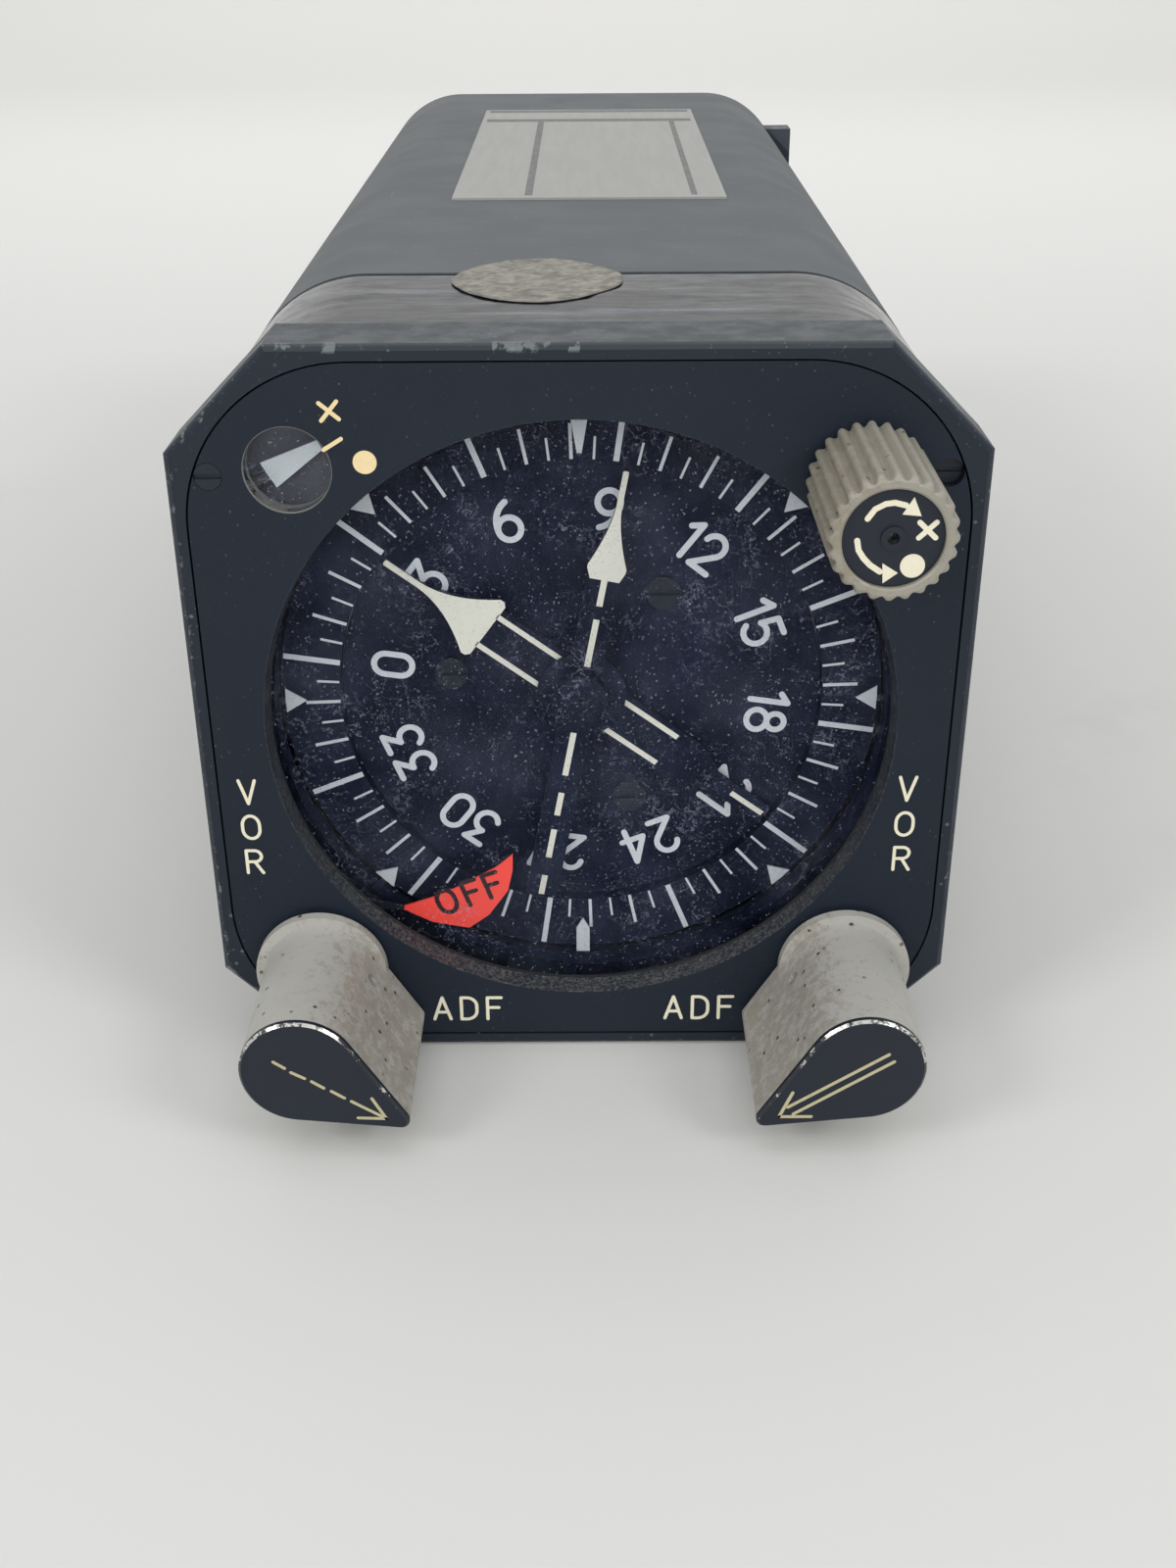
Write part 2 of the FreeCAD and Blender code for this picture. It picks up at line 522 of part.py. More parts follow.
def rounded_square(half, corner):
    """Outline of four equal sides joined by four equal arcs, centred on the axis."""
    def draw(sketch):
        radius = size(corner)
        centre = size(half) - radius
        signs = [(1, 1), (-1, 1), (-1, -1), (1, -1)]
        edges = []
        for quarter, (right, up) in enumerate(signs):
            start = math.radians(90 * quarter)
            end = start + math.pi / 2
            middle = Vector(right * centre, up * centre, 0)
            circle = Part.Circle(middle, Vector(0, 0, 1), radius)
            edges.append(sketch.addGeometry(Part.ArcOfCircle(circle, start, end)))
            following = signs[(quarter + 1) % 4]
            offset = Vector(radius * math.cos(end), radius * math.sin(end), 0)
            target = Vector(following[0] * centre, following[1] * centre, 0)
            edges.append(sketch.addGeometry(Part.LineSegment(middle + offset, target + offset)))
        for index in range(8):
            joint = Sketcher.Constraint("Tangent", edges[index], 2, edges[(index + 1) % 8], 1)
            sketch.addConstraint(joint)
        for edge in (edges[1], edges[5]):
            sketch.addConstraint(Sketcher.Constraint("Horizontal", edge))
        for edge in (edges[3], edges[7]):
            sketch.addConstraint(Sketcher.Constraint("Vertical", edge))
        dimension(sketch, "Radius", corner, edges[0])
        for edge in (edges[2], edges[4]):
            sketch.addConstraint(Sketcher.Constraint("Equal", edges[0], edge))
        dimension(sketch, "DistanceY", half, -1, 1, edges[1], 1)
        dimension(sketch, "DistanceX", half, -1, 1, edges[7], 2)
        sketch.addConstraint(Sketcher.Constraint("Symmetric", edges[0], 3, edges[4], 3, -1, 1))
    return draw


def corner_outline(corners):
    """Outline of straight sides; each corner is a pair of size names."""
    def draw(sketch):
        points = [Vector(size(x), size(z), 0) for x, z in corners]
        following = points[1:] + points[:1]
        edges = [sketch.addGeometry(Part.LineSegment(start, end))
                 for start, end in zip(points, following)]
        for index, edge in enumerate(edges):
            closing = Sketcher.Constraint("Coincident", edge, 2, edges[(index + 1) % len(edges)], 1)
            sketch.addConstraint(closing)
        for edge, (x, z) in zip(edges, corners):
            dimension(sketch, "DistanceX", x, -1, 1, edge, 1)
            dimension(sketch, "DistanceY", z, -1, 1, edge, 1)
    return draw


def pad(body, name, outline, depth, length):
    sketch = sketch_at(body, name + "_outline", depth)
    outline(sketch)
    feature = body.newObject("PartDesign::Pad", name)
    feature.Profile = sketch
    feature.Reversed = True
    return bind(feature, Length=length)


def pocket(body, name, outline, depth, length):
    sketch = sketch_at(body, name + "_outline", depth)
    outline(sketch)
    feature = body.newObject("PartDesign::Pocket", name)
    feature.Profile = sketch
    return bind(feature, Length=length)


def bore(body, name, radius, front, length, x="0", z="0"):
    feature = body.newObject("PartDesign::SubtractiveCylinder", name)
    bind(feature, Radius=radius, Height=length)
    return lay(feature, x, front, z)


def boss(body, name, radius, front, length, x="0", z="0"):
    feature = body.newObject("PartDesign::AdditiveCylinder", name)
    bind(feature, Radius=radius, Height=length)
    return lay(feature, x, front, z)


POSTS = [(x, z) for x in ("post_x", "-post_x") for z in ("post_z", "-post_z")]
KNOBS = {
    "left": ("-selector_x", "-selector_z"),
    "right": ("selector_x", "-selector_z"),
    "sync": ("sync_x", "sync_z"),
}
PLATE_SCREWS = {
    "upper_left": ("-screw_x", "screw_z", "0"),
    "upper_right": ("screw_x", "screw_z", "deep_screw_offset"),
    "lower_left": ("-lower_screw_x", "-screw_z", "0"),
    "lower_right": ("lower_screw_x", "-screw_z", "0"),
}


# Bezel frame: one casting with the eight-sided flange, the housing behind it and a spigot.
def bezel_frame():
    octagon = corner_outline([
        ("corner_start", "bezel_half"), ("-corner_start", "bezel_half"),
        ("-bezel_half", "corner_start"), ("-bezel_half", "-corner_start"),
        ("-corner_start", "-bezel_half"), ("corner_start", "-bezel_half"),
        ("bezel_half", "-corner_start"), ("bezel_half", "corner_start"),
    ])
    body = new_body("bezel_frame")
    flange = pad(body, "flange", octagon, "0", "flange_depth")
    document.recompute()
    front_edges = ["Edge%d" % number for number, edge in enumerate(flange.Shape.Edges, start=1)
                   if edge.BoundBox.YMax < size("bezel_edge_break") / 2]
    edge_break = body.newObject("PartDesign::Chamfer", "edge_break")
    edge_break.Base = (flange, front_edges)
    bind(edge_break, Size="bezel_edge_break")
    pad(body, "housing", rounded_square("housing_half", "housing_corner"),
        "flange_depth", "seam_depth - flange_depth")
    pad(body, "spigot", rounded_square("spigot_half", "spigot_corner"),
        "seam_depth", "spigot_length")
    pocket(body, "housing_hollow", rounded_square("housing_inner", "housing_inner_corner"),
           "web_back", "seam_depth - web_back")
    pocket(body, "spigot_hollow", rounded_square("spigot_inner", "spigot_inner_corner"),
           "web_back", "spigot_end - web_back")
    pocket(body, "plate_recess_pocket", rounded_square("recess_half", "recess_corner"),
           "0", "plate_back")
    bore(body, "window_chamber", "chamber_radius", "plate_back", "web_front - plate_back")
    bore(body, "web_opening", "web_bore_radius", "web_front", "web_thickness")
    for number, (x, z) in enumerate(POSTS):
        boss(body, "post_boss_%d" % number, "spacer_radius", "web_back",
             "front_mechanism_depth - web_back", x, z)
        bore(body, "rod_hole_%d" % number, "rod_hole", "web_front",
             "front_mechanism_depth - web_front", x, z)
    for side, (x, z) in KNOBS.items():
        bore(body, side + "_bushing_hole", "bushing_hole", "plate_back",
             "web_back - plate_back", x, z)
    for place, (x, z, deeper) in PLATE_SCREWS.items():
        bore(body, place + "_screw_hole", "screw_shank_radius + rod_gap", "plate_back",
             "plate_recess + screw_length + %s + rod_gap - plate_back" % deeper, x, z)
    bore(body, "sight_chamber", "sight_chamber_radius", "plate_back",
         "sight_chamber_depth - plate_back", "-sight_x", "sight_z")
    bore(body, "needle_hub_room", "needle_hub_radius * 1.5", "plate_back",
         "sight_chamber_depth - plate_back", "needle_pivot_x", "needle_pivot_z")
    bore(body, "needle_bearing", "needle_spindle_radius + running_gap", "sight_chamber_depth",
         "web_back - sight_chamber_depth", "needle_pivot_x", "needle_pivot_z")
    flag_pocket = body.newObject("PartDesign::SubtractiveBox", "flag_pocket")
    bind(flag_pocket, Length="flag_pocket_right - flag_pocket_left",
         Width="web_front - plate_back", Height="flag_pocket_top - flag_pocket_floor")
    lay(flag_pocket, "flag_pocket_left", "plate_back", "flag_pocket_floor", UPRIGHT)
    bore(body, "flag_hub_room", "flag_hub_radius * 1.8", "plate_back",
         "web_front - plate_back", "flag_pivot_x", "flag_pivot_z")
    bore(body, "flag_bearing", "flag_spindle_radius + running_gap", "web_front",
         "web_thickness", "flag_pivot_x", "flag_pivot_z")
    keep(body, "bezel_frame")


# Front plate: flat cover plate with the flared dial opening and the control holes.
def front_plate():
    body = new_body("front_plate")
    pad(body, "plate", rounded_square("plate_half", "plate_corner"),
        "plate_recess", "plate_thickness")
    flare = body.newObject("PartDesign::SubtractiveCone", "dial_opening")
    bind(flare, Radius1="aperture_radius + aperture_flare", Radius2="aperture_radius",
         Height="plate_thickness")
    lay(flare, "0", "plate_recess", "0")
    for side, (x, z) in KNOBS.items():
        bore(body, side + "_hole", "bushing_hole", "plate_recess", "plate_thickness", x, z)
    bore(body, "sight_hole", "sight_radius", "plate_recess", "plate_thickness",
         "-sight_x", "sight_z")
    for place, (x, z, deeper) in PLATE_SCREWS.items():
        bore(body, place + "_head_room", "screw_head_radius + rod_gap", "plate_recess",
             "screw_head_height + " + deeper, x, z)
        bore(body, place + "_shank_hole", "screw_shank_radius + rod_gap", "plate_recess",
             "plate_thickness", x, z)
    keep(body, "front_plate")


def slotted_screw(name, head, height, shank, length, front, x, z):
    """Cheese-head screw along Y with its slot across X."""
    whole = fuse(name + "_blank", [rod(name + "_head", head, front, height, x, z),
                                   rod(name + "_shank", shank, front, length, x, z)])
    slot = block(name + "_slot", "%s - (%s)" % (x, head), front, "%s - slot_width / 2" % z,
                 "2 * (%s)" % head, "slot_depth", "slot_width")
    return cut(name, whole, slot)


def plate_screws():
    screws = [slotted_screw(place + "_screw", "screw_head_radius", "screw_head_height",
                            "screw_shank_radius", "screw_length", "plate_recess + " + deeper, x, z)
              for place, (x, z, deeper) in PLATE_SCREWS.items()]
    keep(group("plate_screw_group", screws), "plate_screws")


# Window: gasket, glass and the rings behind it.
def window_stack():
    keep(tube("gasket", "ring_radius", "ring_bore", "plate_back", "gasket_thickness"),
         "window_gasket")
    keep(rod("glass", "ring_radius", "glass_front", "glass_thickness"), "window_glass")
    keep(tube("index_ring_blank", "ring_radius", "ring_bore", "index_ring_front",
              "index_ring_thickness"), "index_ring")
    front = size("glass_back")
    back = size("mark_front")
    inner, outer = size("ring_bore"), size("ring_radius")
    slot_end = size("retainer_slot_end")
    sweep = size("retainer_slot_start") + 360 - slot_end
    solid("glass_retainer", revolved([(inner, front), (outer, front), (outer, back),
                                      (inner, back)], sweep, slot_end))


def revolved(profile, sweep=360, start=0):
    """Ring about the Y axis from (radius, depth) points, swept clockwise from an angle."""
    corners = [Vector(0, depth, radius) for radius, depth in profile]
    face = Part.Face(Part.makePolygon(corners + corners[:1]))
    face.rotate(Vector(), Vector(0, 1, 0), start)
    return face.revolve(Vector(), Vector(0, 1, 0), sweep)


def plate_solid(points, front, thickness):
    """Flat plate along Y from outline points given as (x, z)."""
    corners = [Vector(x, front, z) for x, z in points]
    wire = Part.makePolygon(corners + corners[:1])
    return Part.Face(wire).extrude(Vector(0, thickness, 0))


def turned(shape, angle):
    copy = shape.copy()
    copy.rotate(Vector(), Vector(0, 1, 0), angle)
    return copy


def index_marks():
    front, thickness = size("mark_front"), size("mark_thickness")
    base = size("ring_radius") - size("chamber_gap")
    width, stem = size("mark_half_width"), size("mark_stem_half")
    tip, mark_base = size("mark_tip_radius"), size("mark_base_radius")
    half_mark = [(0, tip), (width, mark_base), (stem, mark_base), (stem, base)]
    triangle = plate_solid(mirrored(half_mark), front, thickness)
    marks = [turned(triangle, angle) for angle in (45, 90, 135, 225, 270, 315)]
    lubber_tip = size("lubber_tip_radius")
    tip_half, base_half = size("lubber_tip_half"), size("lubber_half_width")
    marks.append(plate_solid([(-tip_half, lubber_tip), (tip_half, lubber_tip), (base_half, base),
                              (-base_half, base)], front, thickness))
    tail_tip = size("tail_mark_tip_radius")
    tail_half, shoulder = size("tail_mark_half_width"), tail_tip + size("tail_mark_point")
    marks.append(turned(plate_solid([(0, tail_tip), (tail_half, shoulder), (tail_half, base),
                                     (-tail_half, base), (-tail_half, shoulder)],
                                    front, thickness), 180))
    solid("index_marks", Part.makeCompound(marks))


def seal_tape():
    body = new_body("seal_tape")
    pad(body, "tape_outside", rounded_square("cover_half", "cover_corner"),
        "tape_front", "tape_length")
    pocket(body, "tape_inside", rounded_square("housing_half", "housing_corner"),
           "tape_front", "tape_length")
    keep(body, "seal_tape")


def dust_cover():
    body = new_body("dust_cover")
    pad(body, "cover_outside", rounded_square("cover_half", "cover_corner"),
        "seam_depth", "cover_length")
    pocket(body, "cover_inside", rounded_square("cover_inner", "cover_inner_corner"),
           "seam_depth", "cover_length")
    keep(body, "dust_cover")


# Rear end: plate, connector and screws.
def rear_end():
    body = new_body("rear_plate")
    pad(body, "rear_sheet", rounded_square("cover_half", "cover_corner"),
        "rear_plate_front", "rear_plate_thickness")
    bore(body, "connector_hole", "connector_shell_radius", "rear_plate_front",
         "rear_plate_thickness", "connector_x", "connector_z")
    places_of_screws = [("post_%d" % number, x, z, "body_length")
                        for number, (x, z) in enumerate(POSTS)]
    signs = [("+", "+"), ("+", "-"), ("-", "+"), ("-", "-")]
    for number, (right, up) in enumerate(signs):
        x = "connector_x %s connector_screw_offset" % right
        z = "connector_z %s connector_screw_offset" % up
        places_of_screws.append(("connector_%d" % number, x, z,
                                 "body_length + connector_flange_thickness"))
    for name, x, z, seat in places_of_screws:
        bore(body, name + "_hole", "rear_screw_hole", "rear_plate_front",
             "rear_plate_thickness", x, z)
    keep(body, "rear_plate")
    screws = []
    for name, x, z, seat in places_of_screws:
        shank = rod(name + "_shank", "rod_radius", "%s - rear_screw_length" % seat,
                    "rear_screw_length", x, z)
        head = rod(name + "_head", "rear_screw_head_radius", seat, "rear_screw_head_height", x, z)
        slot = block(name + "_slot", "%s - rear_screw_head_radius" % x,
                     "%s + rear_screw_head_height - slot_depth" % seat,
                     "%s - slot_width / 2" % z, "2 * rear_screw_head_radius",
                     "slot_depth", "slot_width")
        screws.append(cut(name + "_screw", fuse(name + "_blank", [shank, head]), slot))
    keep(group("rear_screw_group", screws), "rear_screws")
    flange = block("connector_flange", "connector_x - connector_flange_half", "body_length",
                   "connector_z - connector_flange_half", "2 * connector_flange_half",
                   "connector_flange_thickness", "2 * connector_flange_half")
    shell = rod("connector_shell", "connector_shell_radius", "body_length",
                "connector_reach", "connector_x", "connector_z")
    inner = rod("connector_body", "connector_shell_radius - rod_gap",
                "rear_plate_front - connector_body_depth",
                "connector_body_depth + rear_plate_thickness", "connector_x", "connector_z")
    hollow = rod("connector_hollow", "connector_shell_bore",
                 "rear_plate_front - connector_body_depth",
                 "connector_body_depth + rear_plate_thickness + connector_reach",
                 "connector_x", "connector_z")
    holes = [rod(name + "_flange_hole", "rear_screw_hole", "body_length",
                 "connector_flange_thickness", x, z)
             for name, x, z, seat in places_of_screws[len(POSTS):]]
    blank = fuse("connector_blank", [flange, shell, inner])
    keep(cut("rear_connector", blank, fuse("connector_holes", [hollow] + holes)),
         "rear_connector")
    insert = rod("insert_blank", "connector_shell_bore - press_gap",
                 "rear_plate_front - connector_body_depth",
                 "connector_body_depth + rear_plate_thickness + connector_reach"
                 " - connector_insert_recess", "connector_x", "connector_z")
    contacts = [rod("contact_0", "contact_radius", "body_length", "connector_reach",
                    "connector_x", "connector_z")]
    for ring in (1, 2):
        for number in range(6 * ring):
            turn = 360.0 * number / (6 * ring)
            contacts.append(rod("contact_%d_%d" % (ring, number), "contact_radius",
                                "body_length", "connector_reach",
                                "connector_x + contact_pitch * %d * cos(%.1f)" % (ring, turn),
                                "connector_z + contact_pitch * %d * sin(%.1f)" % (ring, turn)))
    keep(cut("connector_insert", insert, fuse("contact_holes", contacts)), "connector_insert")


def corner_block():
    """Small block on the outside of the cover's upper right rear corner."""
    body = new_body("cover_corner_form")
    pad(body, "corner_form", rounded_square("cover_half", "cover_corner"),
        "block_front", "block_length")
    whole = block("corner_block_blank", "block_right - cover_corner / 2", "block_front",
                  "block_low", "cover_corner / 2", "block_length", "block_high - block_low")
    keep(cut("corner_block", whole, body), "corner_block")


def cover_labels():
    keep(block("label_sheet", "label_offset - label_width / 2", "label_front", "cover_half",
               "label_width", "label_length", "label_thickness"), "label_plate")
    body = document.addObject("Part::Ellipse", "seal_outline")
    bind(body, MajorRadius="seal_half_length", MinorRadius="seal_half_width")
    body.Placement = FreeCAD.Placement(Vector(), FreeCAD.Rotation(Vector(0, 0, 1), 90))
    bind(body, Placement__Base__x="seal_offset", Placement__Base__y="seal_depth",
         Placement__Base__z="cover_half")
    seal = document.addObject("Part::Extrusion", "seal_film")
    seal.Base = body
    seal.DirMode = "Custom"
    seal.Dir = Vector(0, 0, 1)
    seal.Solid = True
    bind(seal, LengthFwd="seal_thickness")
    keep(seal, "oval_seal")


# Mechanism plates, tie rods and spacers.
def mechanism_plate(label, depth, holes):
    body = new_body(label)
    pad(body, label + "_sheet", rounded_square("mechanism_half", "mechanism_corner"),
        depth, "mechanism_thickness")
    for number, (x, z) in enumerate(POSTS):
        bore(body, "%s_post_%d" % (label, number), "rod_hole", depth, "mechanism_thickness", x, z)
    for number, (radius, x, z) in enumerate(holes):
        bore(body, "%s_hole_%d" % (label, number), radius, depth, "mechanism_thickness", x, z)
    return body


def mechanism_plates():
    shaft_holes = [("knob_shaft_radius + shaft_hole_gap", x, z) for x, z in KNOBS.values()]
    idler_hole = ("idler_shaft_radius + running_gap", "idler_x", "idler_z")
    keep(mechanism_plate("front_mechanism_plate", "front_mechanism_depth",
                         [("bearing_radius", "0", "0"), idler_hole] + shaft_holes),
         "front_mechanism_plate")
    keep(mechanism_plate("gear_plate", "gear_plate_depth",
                         [("bearing_radius", "0", "0"), idler_hole,
                          ("motor_shaft_radius + shaft_hole_gap", "0", "motor_z")]),
         "gear_plate")
    wide_plate = mechanism_plate("wide_synchro_plate", "wide_plate_depth",
                                 [("wide_bearing_bore", "0", "0")])
    narrow_plate = mechanism_plate("narrow_synchro_plate", "narrow_plate_depth",
                                   [("narrow_bearing_bore", "0", "0")])
    keep(group("synchro_plate_group", [wide_plate, narrow_plate]), "synchro_plates")
    rods = [rod("tie_rod_%d" % number, "rod_radius", "rod_start", "rod_end - rod_start", x, z)
            for number, (x, z) in enumerate(POSTS)]
    keep(group("tie_rod_group", rods), "tie_rods")
    bays = [("mechanism_back", "gear_plate_depth"), ("gear_plate_back", "wide_plate_depth"),
            ("wide_plate_back", "narrow_plate_depth"), ("narrow_plate_back", "front_board_depth"),
            ("front_board_depth + board_thickness", "rear_board_depth"),
            ("rear_board_depth + board_thickness", "rear_plate_front")]
    spacers = [tube("spacer_%d_%d" % (bay, number), "spacer_radius", "rod_hole",
                    start, "%s - (%s)" % (end, start), x, z)
               for bay, (start, end) in enumerate(bays) for number, (x, z) in enumerate(POSTS)]
    keep(group("spacer_group", spacers), "spacer_tubes")
    bearings = [tube("hub_bearing_%d" % number, "bearing_radius - press_gap", "card_bearing_bore",
                     depth, "mechanism_thickness")
                for number, depth in enumerate(("front_mechanism_depth", "gear_plate_depth"))]
    keep(group("hub_bearing_group", bearings), "hub_bearings")


# Compass card: tick ring, number disc and the hub that turns them.
def compass_card():
    inner, rim = size("card_inner_radius"), size("card_rim_radius")
    foot, front, back = size("hub_flange_radius"), size("card_rim_front"), size("disc_back")
    step = front + size("card_rim_thickness")
    solid("card_ring", revolved([(inner, front), (rim, front), (rim, step), (foot, step),
                                 (foot, back), (inner, back)]))
    turns = ["card_zero + %d" % turn for turn in (0, 120, 240)]
    screw_places = [("card_screw_circle * sin(%s)" % turn, "card_screw_circle * cos(%s)" % turn)
                    for turn in turns]
    disc_holes = [rod("disc_hole_%d" % number, "card_screw_shank + rod_gap", "disc_front",
                      "number_disc_thickness", x, z)
                  for number, (x, z) in enumerate(screw_places)]
    centre_hole = rod("disc_centre", "hub_tube_bore", "disc_front", "number_disc_thickness")
    disc = rod("disc_blank", "disc_radius", "disc_front", "number_disc_thickness")
    keep(cut("number_disc", disc, fuse("disc_holes", disc_holes + [centre_hole])), "number_disc")
    screws = [slotted_screw("card_screw_%d" % number, "card_screw_head", "card_screw_proud",
                            "card_screw_shank", "card_screw_proud + number_disc_thickness"
                            " + hub_flange_thickness", "disc_front - card_screw_proud", x, z)
              for number, (x, z) in enumerate(screw_places)]
    keep(group("card_screw_group", screws), "card_screws")
    flange = rod("hub_flange", "hub_flange_radius", "disc_back", "hub_flange_thickness")
    shank = rod("hub_tube", "hub_tube_radius", "disc_back", "hub_tube_end - disc_back")
    journal = rod("hub_journal_bore", "wide_bearing_bore", "disc_back", "hub_tube_end - disc_back")
    relief = rod("hub_relief", "hub_tube_bore", "disc_back + journal_length",
                 "hub_tube_end - disc_back - 2 * journal_length")
    holes = [rod("hub_hole_%d" % number, "card_screw_shank + rod_gap", "disc_back",
                 "hub_flange_thickness", x, z) for number, (x, z) in enumerate(screw_places)]
    keep(cut("card_hub", fuse("hub_blank", [flange, shank]),
             fuse("hub_hollow", [journal, relief] + holes)), "card_hub")


# Gears with straight-sided teeth and a named backlash.
def gear(teeth, module, width, front, tooth_at):
    """Toothed disc about the Y axis with a tooth centred at a clockwise angle."""
    pitch = module * teeth / 2.0
    tip = pitch + 0.85 * module
    root = pitch - 1.15 * module
    slope = math.tan(math.radians(20)) / pitch
    half = math.pi / (2 * teeth) - size("backlash") / (2 * pitch)
    tip_half = half - (tip - pitch) * slope
    root_half = half + (pitch - root) * slope
    points = []
    for number in range(int(teeth)):
        centre = math.radians(tooth_at) + 2 * math.pi * number / teeth
        for radius, offset in ((root, -root_half), (tip, -tip_half), (tip, tip_half),
                               (root, root_half)):
            angle = centre + offset
            points.append((radius * math.sin(angle), radius * math.cos(angle)))
    return plate_solid(points, front, width)


def drilled(shape, radius, front, length):
    return shape.cut(Part.makeCylinder(radius, length, Vector(0, front, 0), Vector(0, 1, 0)))


def gear_train():
    gear_front, gear_width = size("card_gear_depth"), size("gear_width")
    overlap = size("pinion_overlap")
    card_teeth, pinion_teeth = size("card_gear_teeth"), size("idler_pinion_teeth")
    wheel_teeth, motor_teeth = size("idler_wheel_teeth"), size("motor_pinion_teeth")
    card_module, motor_module = size("card_module"), size("motor_module")
    idler_x, idler_z = size("idler_x"), size("idler_z")
    to_idler = math.degrees(math.atan2(idler_x, idler_z))
    to_motor = math.degrees(math.atan2(-idler_x, size("motor_z") - idler_z))
    card_gear = gear(card_teeth, card_module, gear_width, gear_front,
                     to_idler + 180.0 / card_teeth)
    bore_radius = size("hub_tube_radius") + size("press_gap")
    solid("card_gear", drilled(card_gear, bore_radius, gear_front, gear_width))
    wheel_front, wheel_width = size("idler_wheel_depth"), size("idler_wheel_width")
    shaft_front = size("front_mechanism_depth") + size("rod_gap")
    shaft_length = size("gear_plate_back") - size("rod_gap") - shaft_front
    pinion = gear(pinion_teeth, card_module, wheel_front - gear_front + overlap,
                  gear_front - overlap, to_idler + 180)
    wheel = gear(wheel_teeth, motor_module, wheel_width, wheel_front, to_motor)
    shaft = Part.makeCylinder(size("idler_shaft_radius"), shaft_length,
                              Vector(0, shaft_front, 0), Vector(0, 1, 0))
    idler = pinion.fuse([wheel, shaft]).removeSplitter()
    idler.translate(Vector(idler_x, 0, idler_z))
    solid("idler_gear", idler)
    motor_width = wheel_width + 2 * overlap
    motor_gear = gear(motor_teeth, motor_module, motor_width, wheel_front - overlap,
                      to_motor + 180 + 180.0 / motor_teeth)
    shaft_end = size("gear_plate_back") + size("motor_bearing_depth")
    motor_shaft = Part.makeCylinder(size("motor_shaft_radius"), shaft_end - wheel_front,
                                    Vector(0, wheel_front, 0), Vector(0, 1, 0))
    pinion_on_shaft = motor_gear.fuse(motor_shaft).removeSplitter()
    pinion_on_shaft.translate(Vector(0, 0, size("motor_z")))
    solid("motor_pinion", pinion_on_shaft)
    motor = rod("motor_body", "motor_radius", "gear_plate_back", "motor_length", "0", "motor_z")
    motor_bearing = rod("motor_bearing", "motor_shaft_radius + running_gap", "gear_plate_back",
                        "motor_bearing_depth + rod_gap", "0", "motor_z")
    keep(cut("servo_motor", motor, motor_bearing), "servo_motor")


# Synchros: one behind each of the three coaxial shafts.
def synchro(label, plate_back, shaft_radius):
    hollow = rod(label + "_hollow", "stator_bore", plate_back, "stator_length - stator_end_wall")
    end_hole = rod(label + "_end_hole", "%s + running_gap" % shaft_radius, plate_back,
                   "stator_length")
    blank = rod(label + "_blank", "stator_radius", plate_back, "stator_length")
    keep(cut(label + "_stator", blank, fuse(label + "_stator_bore", [hollow, end_hole])),
         label + "_stator")
    keep(tube(label + "_rotor_ring", "rotor_radius", "%s + press_gap" % shaft_radius,
              "%s + rotor_offset" % plate_back, "rotor_length"), label + "_rotor")


def pointer_shafts():
    wide = rod("wide_shaft_outside", "wide_tube_radius", "wide_plane", "wide_tube_end - wide_plane")
    journal = rod("wide_shaft_journal", "narrow_bearing_bore", "wide_plane",
                  "wide_tube_end - wide_plane")
    relief = rod("wide_shaft_relief", "wide_tube_bore", "wide_plane + journal_length",
                 "wide_tube_end - wide_plane - 2 * journal_length")
    keep(cut("wide_pointer_tube", wide, fuse("wide_shaft_hollow", [journal, relief])),
         "wide_pointer_tube")
    keep(rod("narrow_shaft_rod", "narrow_shaft_radius", "cap_front + hub_cap_height / 2",
             "narrow_shaft_end - cap_front - hub_cap_height / 2"), "narrow_pointer_shaft")
    cap = rod("hub_cap_blank", "hub_cap_radius", "cap_front", "hub_cap_height")
    seat = rod("hub_cap_seat", "narrow_shaft_radius + press_gap", "cap_front + hub_cap_height / 2",
               "hub_cap_height / 2")
    pin = rod("hub_cap_pin", "hub_pin_radius", "cap_front", "hub_cap_height / 2")
    keep(cut("hub_cap", cap, fuse("hub_cap_hollow", [seat, pin])), "hub_cap")


def mirrored(points):
    """Close a right-hand outline with its mirror image."""
    return points + [(-across, along) for across, along in reversed(points)
                     if abs(across) > 1e-9]


def flare(start, end, half_start, half_end, steps=5):
    """Points of a hollow-sided arrowhead between two half widths."""
    points = []
    for step in range(steps + 1):
        share = step / float(steps)
        along = start + (end - start) * share
        points.append((half_start + (half_end - half_start) * share ** 1.6, along))
    return points


